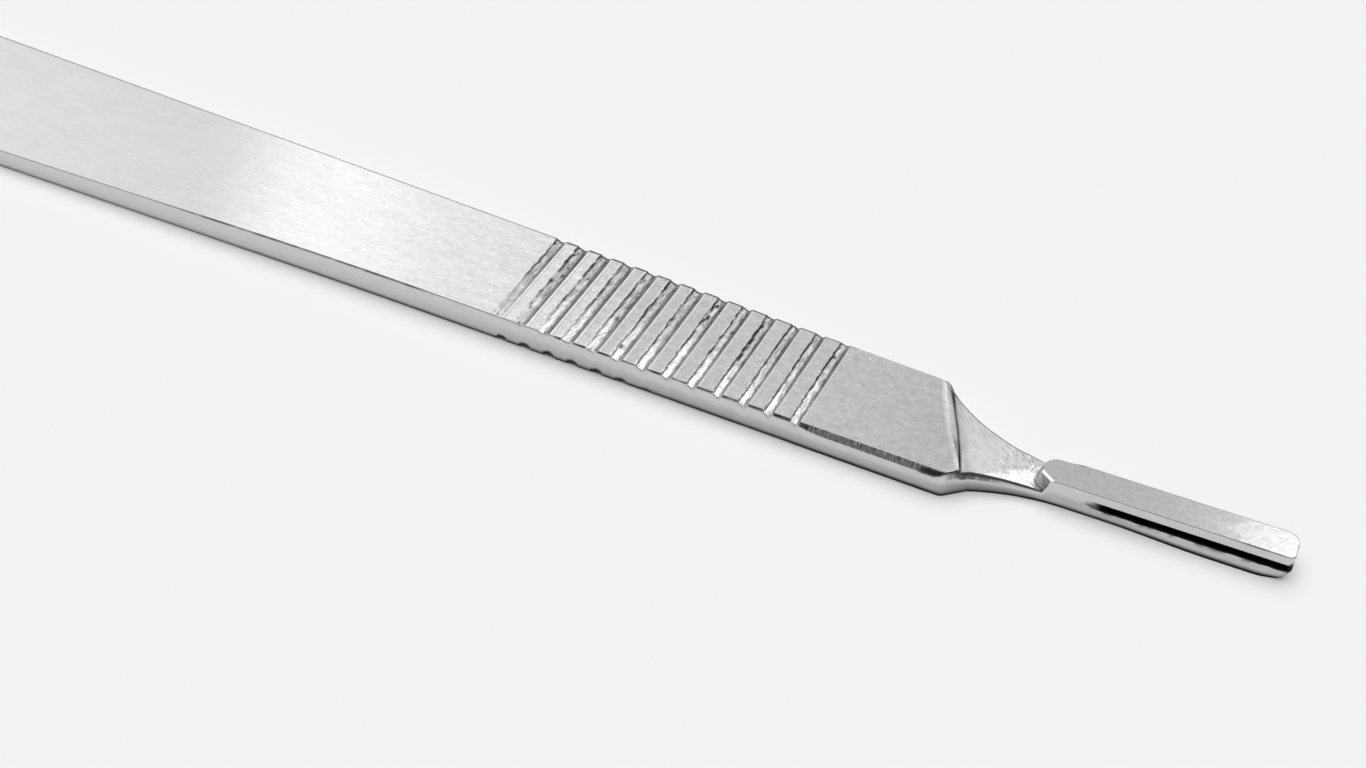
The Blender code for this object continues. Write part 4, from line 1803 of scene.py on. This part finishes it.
@dataclass(frozen=True)
class MilledSteel(Steel):
    """The ramp and the boss's wall: cutter scratches across the ramp, chips by the boss.

    Attributes:
        turn: Turn of the scratches.
    """

    turn: float = math.radians(38.0)

    def dress(self, nodes: Nodes) -> Socket:
        """Add scratches that run roughly with the shoulder's slant, blotches and chips.

        Args:
            nodes: Helper of the material's node tree.

        Returns:
            The colour's socket.
        """
        turned = nodes.add("ShaderNodeMapping", vector_type="TEXTURE")
        turned.inputs["Rotation"].default_value = (0.0, 0.0, self.turn)
        nodes.feed(turned.inputs["Vector"], nodes.place)
        scratch = nodes.noise((0.10, 1.4, 0.5), 3.0, 0.6, turned.outputs[0])
        chip = nodes.noise((0.13, 0.55, 0.5), 3.0, 0.65, turned.outputs[0])
        blotch = nodes.noise((0.8, 0.8, 0.8))
        nodes.relief((scratch, 0.35, 0.012), (blotch, 0.3, 0.030))
        level = self.level
        lined = nodes.ramp(scratch, (0.36, level - 0.16), (0.5, level), (0.66, level + 0.12))
        clouded = nodes.ramp(blotch, *self.around(-0.08, 0.07))
        chipped = nodes.ramp(chip, (0.36, level - 0.30), (0.47, level - 0.04),
                             (0.55, level + 0.03), (0.64, level + 0.28))
        by_boss = nodes.ramp(nodes.along(), (0.836, 0.0), (0.850, 0.75), (0.875, 0.75),
                             (0.885, 0.30))
        plain = nodes.mix(by_boss, nodes.mix(0.6, lined, clouded), chipped)
        return nodes.brighten_sheen_and_wear(plain, chip, 0.96)


@dataclass(frozen=True)
class NoseSteel(Steel):
    """Top of the nose: satin, with a bright mottled patch at the tip, a painted highlight."""

    def dress(self, nodes: Nodes) -> Socket:
        """Add fine grain and blotches to the colour and relief.

        Args:
            nodes: Helper of the material's node tree.

        Returns:
            The colour's socket.
        """
        grain = nodes.noise((0.7, 0.10, 0.3), 3.0, 0.6)
        blotch = nodes.noise((0.45, 0.35, 0.4), 3.0, 0.6)
        nodes.relief((grain, 0.3, 0.006), (blotch, 0.4, 0.014))
        lined = nodes.ramp(grain, *self.around(-0.06, 0.05))
        clouded = nodes.ramp(blotch, *self.around(-0.06, 0.06))
        return nodes.brighten_sheen_and_wear(nodes.mix(0.5, lined, clouded), blotch, 0.78)


@dataclass(frozen=True)
class Handle:
    """The finished handle: its skin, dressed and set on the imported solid.

    Attributes:
        surface: The skin.
        finishes: The finishes, in the order of Finish.
    """

    surface: HandleSurface = HandleSurface()
    finishes: tuple[Steel, ...] = (
        BrushedSteel("brushed_steel_face", 0.64, 0.14, 1.0),
        TornSteel("torn_groove_steel", 0.66, 0.28),
        EdgeSteel("ground_edge_steel", 0.63, 0.30),
        MilledSteel("milled_neck_steel", 0.64, 0.26),
        NoseSteel("nose_steel", 0.63, 0.12),
    )

    def build(self) -> None:
        """Build the skin, give it its finishes and hand it to the frame."""
        item = self.surface.build()
        for finish in self.finishes:
            item.data.materials.append(finish.material())
        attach(item, "root")
        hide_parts(NODE)
        item.data.calc_loop_triangles()
        LOG.info("handle skin: %d triangles", len(item.data.loop_triangles))


@dataclass(frozen=True)
class Studio:
    """Pale floor, soft surrounding light and the camera of the photograph.

    The light's levels are what a mirror in the handle's place would show. In each table a
    level follows its place on a scale: windows and window_foot run from left to right,
    from 0 to 1, and height runs from the horizon up to 1 overhead.

    Attributes:
        focal_pixels: Focal length in pixels of a photograph of PHOTO_WIDTH.
        sensor: Width of the camera's sensor.
        near_clip: Shortest distance that the camera sees, in metres.
        far_clip: Longest distance that it sees, in metres.
        camera_at: Place of the camera.
        azimuth: Turn of the view about Z.
        elevation: How far the camera looks down.
        roll: Tilt of the frame.
        floor_level: Grey level of the floor.
        floor_roughness: Roughness of the floor.
        floor_size: Side of the floor.
        light: Strength of the light.
        seen_level: Level that the camera sees beyond the floor, which is the floor's.
        windows: Band of windows behind the object.
        height: How the band's brightness grows upwards.
        window_foot: Height at which the large window begins.
        viewer: Direction of the shade where the viewer stands.
    """

    focal_pixels: float = 2000.0
    sensor: float = 36.0
    near_clip: float = 0.005
    far_clip: float = 20.0
    camera_at: tuple[float, float, float] = (63.49387, -90.88395, 93.69482)
    azimuth: float = math.radians(25.445)
    elevation: float = math.radians(43.778)
    roll: float = math.radians(-1.980)
    floor_level: float = 0.935
    floor_roughness: float = 0.9
    floor_size: float = 3000.0
    light: float = 1.6
    seen_level: float = 0.555
    windows: tuple[tuple[float, float], ...] = (
        (0.00, 0.60), (0.17, 0.77), (0.19, 0.74), (0.212, 0.70), (0.224, 0.70),
        (0.2275, 0.78), (0.234, 0.90), (0.243, 0.96), (0.255, 0.94), (0.262, 0.91),
        (0.272, 0.84), (0.285, 0.77), (0.317, 0.69), (0.326, 0.51), (0.365, 0.51),
        (0.385, 0.48), (0.410, 0.435), (0.445, 0.43), (0.475, 0.47), (0.52, 0.49),
        (0.56, 0.56), (1.00, 0.50))
    height: tuple[tuple[float, float], ...] = (
        (0.0, 0.22), (0.22, 0.28), (0.40, 0.58), (0.50, 1.00))
    window_foot: tuple[tuple[float, float], ...] = (
        (0.46, 0.66), (0.54, 0.635), (0.58, 0.42), (0.64, 0.20), (1.00, 0.10))
    viewer: tuple[float, float, float] = (-0.05, -0.80, 0.60)

    def camera(self) -> None:
        """Create the camera from its turn, its elevation and its roll."""
        cos, sin = math.cos(self.elevation), math.sin(self.elevation)
        forward = Vector((-math.sin(self.azimuth) * cos, math.cos(self.azimuth) * cos, -sin))
        right = forward.cross(Vector((0, 0, 1))).normalized()
        down = forward.cross(right)
        cos, sin = math.cos(self.roll), math.sin(self.roll)
        axes = Matrix((right * cos + down * sin, right * sin - down * cos, -forward))
        data = bpy.data.cameras.new("studio_camera")
        data.sensor_width = self.sensor
        data.lens = self.focal_pixels / PHOTO_WIDTH * self.sensor
        data.clip_start = self.near_clip
        data.clip_end = self.far_clip
        item = bpy.data.objects.new("studio_camera", data)
        bpy.context.scene.collection.objects.link(item)
        place = Matrix.Translation(Vector(self.camera_at) * MM)
        item.matrix_world = place @ axes.transposed().to_4x4()
        bpy.context.scene.camera = item

    def floor(self) -> None:
        """Lay a large pale floor under the handle."""
        mesh = bpy.data.meshes.new("studio_floor")
        half = self.floor_size * MM / 2
        corners = [(-half, -half, 0.0), (half, -half, 0.0), (half, half, 0.0),
                   (-half, half, 0.0)]
        mesh.from_pydata(corners, [], [(0, 1, 2, 3)])
        item = bpy.data.objects.new("studio_floor", mesh)
        bpy.context.scene.collection.objects.link(item)
        material = bpy.data.materials.new("pale_floor")
        material.use_nodes = True
        inputs = material.node_tree.nodes["Principled BSDF"].inputs
        inputs["Base Color"].default_value = grey(self.floor_level)
        inputs["Roughness"].default_value = self.floor_roughness
        inputs["Specular IOR Level"].default_value = 0.0
        mesh.materials.append(material)

    def around(self, nodes: Nodes, x: Socket, y: Socket, z: Socket) -> Socket:
        """Light of the low directions, as the metal mirrors it.

        Behind the object stands a band of windows that brightens upwards, with one large
        pale window at its right. The viewer's side is grey, and brighter at the far left.

        Args:
            nodes: Helper of the world's node tree.
            x: Direction to the right, from -1 to 1.
            y: Direction away from the viewer.
            z: Direction upwards.

        Returns:
            The level's socket.
        """
        sideways = nodes.line(x, 0.5, 0.5)
        height = nodes.ramp(z, *self.height)
        band = nodes.mix(1.0, nodes.ramp(sideways, *self.windows), height, "MULTIPLY")
        above = nodes.math("SUBTRACT", z, nodes.ramp(sideways, *self.window_foot))
        window = nodes.math("MULTIPLY", nodes.line(above, 14.0, clamp=True),
                            nodes.line(sideways, 100.0, -47.85, clamp=True))
        behind = nodes.mix(window, band, grey(0.98))
        far_left = nodes.line(x, -6.0, -3.3, clamp=True)
        ahead = nodes.mix(far_left, grey(0.40), height)
        return nodes.mix(nodes.line(y, 2.2, 0.25, clamp=True), ahead, behind)

    def mirrored(self, nodes: Nodes, x: Socket, y: Socket, z: Socket) -> Socket:
        """Light that the metal mirrors: what stands around, a bright ceiling and a shade.

        The ceiling is dimmer straight above, and the shade is where the viewer stands.

        Args:
            nodes: Helper of the world's node tree.
            x: Direction to the right, from -1 to 1.
            y: Direction away from the viewer.
            z: Direction upwards.

        Returns:
            The level's socket.
        """
        steep = nodes.line(z, -14.0, 13.0, clamp=True)
        ceiling = nodes.mix(steep, grey(0.50), grey(1.50))
        overhead = nodes.line(z, 7.0, -5.8, clamp=True)
        lit = nodes.mix(overhead, self.around(nodes, x, y, z), ceiling)
        toward = nodes.add("ShaderNodeVectorMath", operation="DOT_PRODUCT")
        nodes.join(toward, 0, nodes.place, Vector(self.viewer).normalized())
        shade = nodes.line(toward.outputs["Value"], 5.5, -4.2, clamp=True)
        return nodes.mix(shade, lit, grey(0.20))

    def world(self) -> None:
        """Surround the scene with soft light.

        The floor and the metal's rough share see a soft bright cap overhead that leans a
        little to the far side. Glossy rays see the studio that the metal mirrors, and the
        camera sees a plain pale background.
        """
        world = bpy.data.worlds.new("studio_world")
        bpy.context.scene.world = world
        nodes = Nodes(world, "Background", "Generated")
        x, y, z = nodes.axes()
        leaning = nodes.math("ADD", z, nodes.math("MULTIPLY", y, 0.09))
        cap = nodes.line(leaning, 8.0, -6.0, clamp=True)
        soft = nodes.mix(cap, grey(0.125), grey(1.50))
        path = nodes.add("ShaderNodeLightPath").outputs
        level = nodes.mix(path["Is Glossy Ray"], soft, self.mirrored(nodes, x, y, z))
        seen = nodes.mix(path["Is Camera Ray"], level, grey(self.seen_level))
        nodes.feed(nodes.shader.inputs["Color"], seen)
        nodes.shader.inputs["Strength"].default_value = self.light

    def build(self) -> None:
        """Make the camera, the floor and the light, and choose the view's colours."""
        self.camera()
        self.floor()
        self.world()
        bpy.context.scene.view_settings.view_transform = "Standard"
        LOG.info("studio: camera, floor and surrounding light")


def corners(box: object) -> list[list[float]]:
    """Turn a box into plain lists of numbers."""
    return [[float(value) for value in corner] for corner in box]


def main() -> None:
    """Build the handle and the studio."""
    logging.basicConfig(level=logging.INFO, format="%(name)s: %(message)s")
    Handle().build()
    Studio().build()


if __name__ == "__main__":
    main()
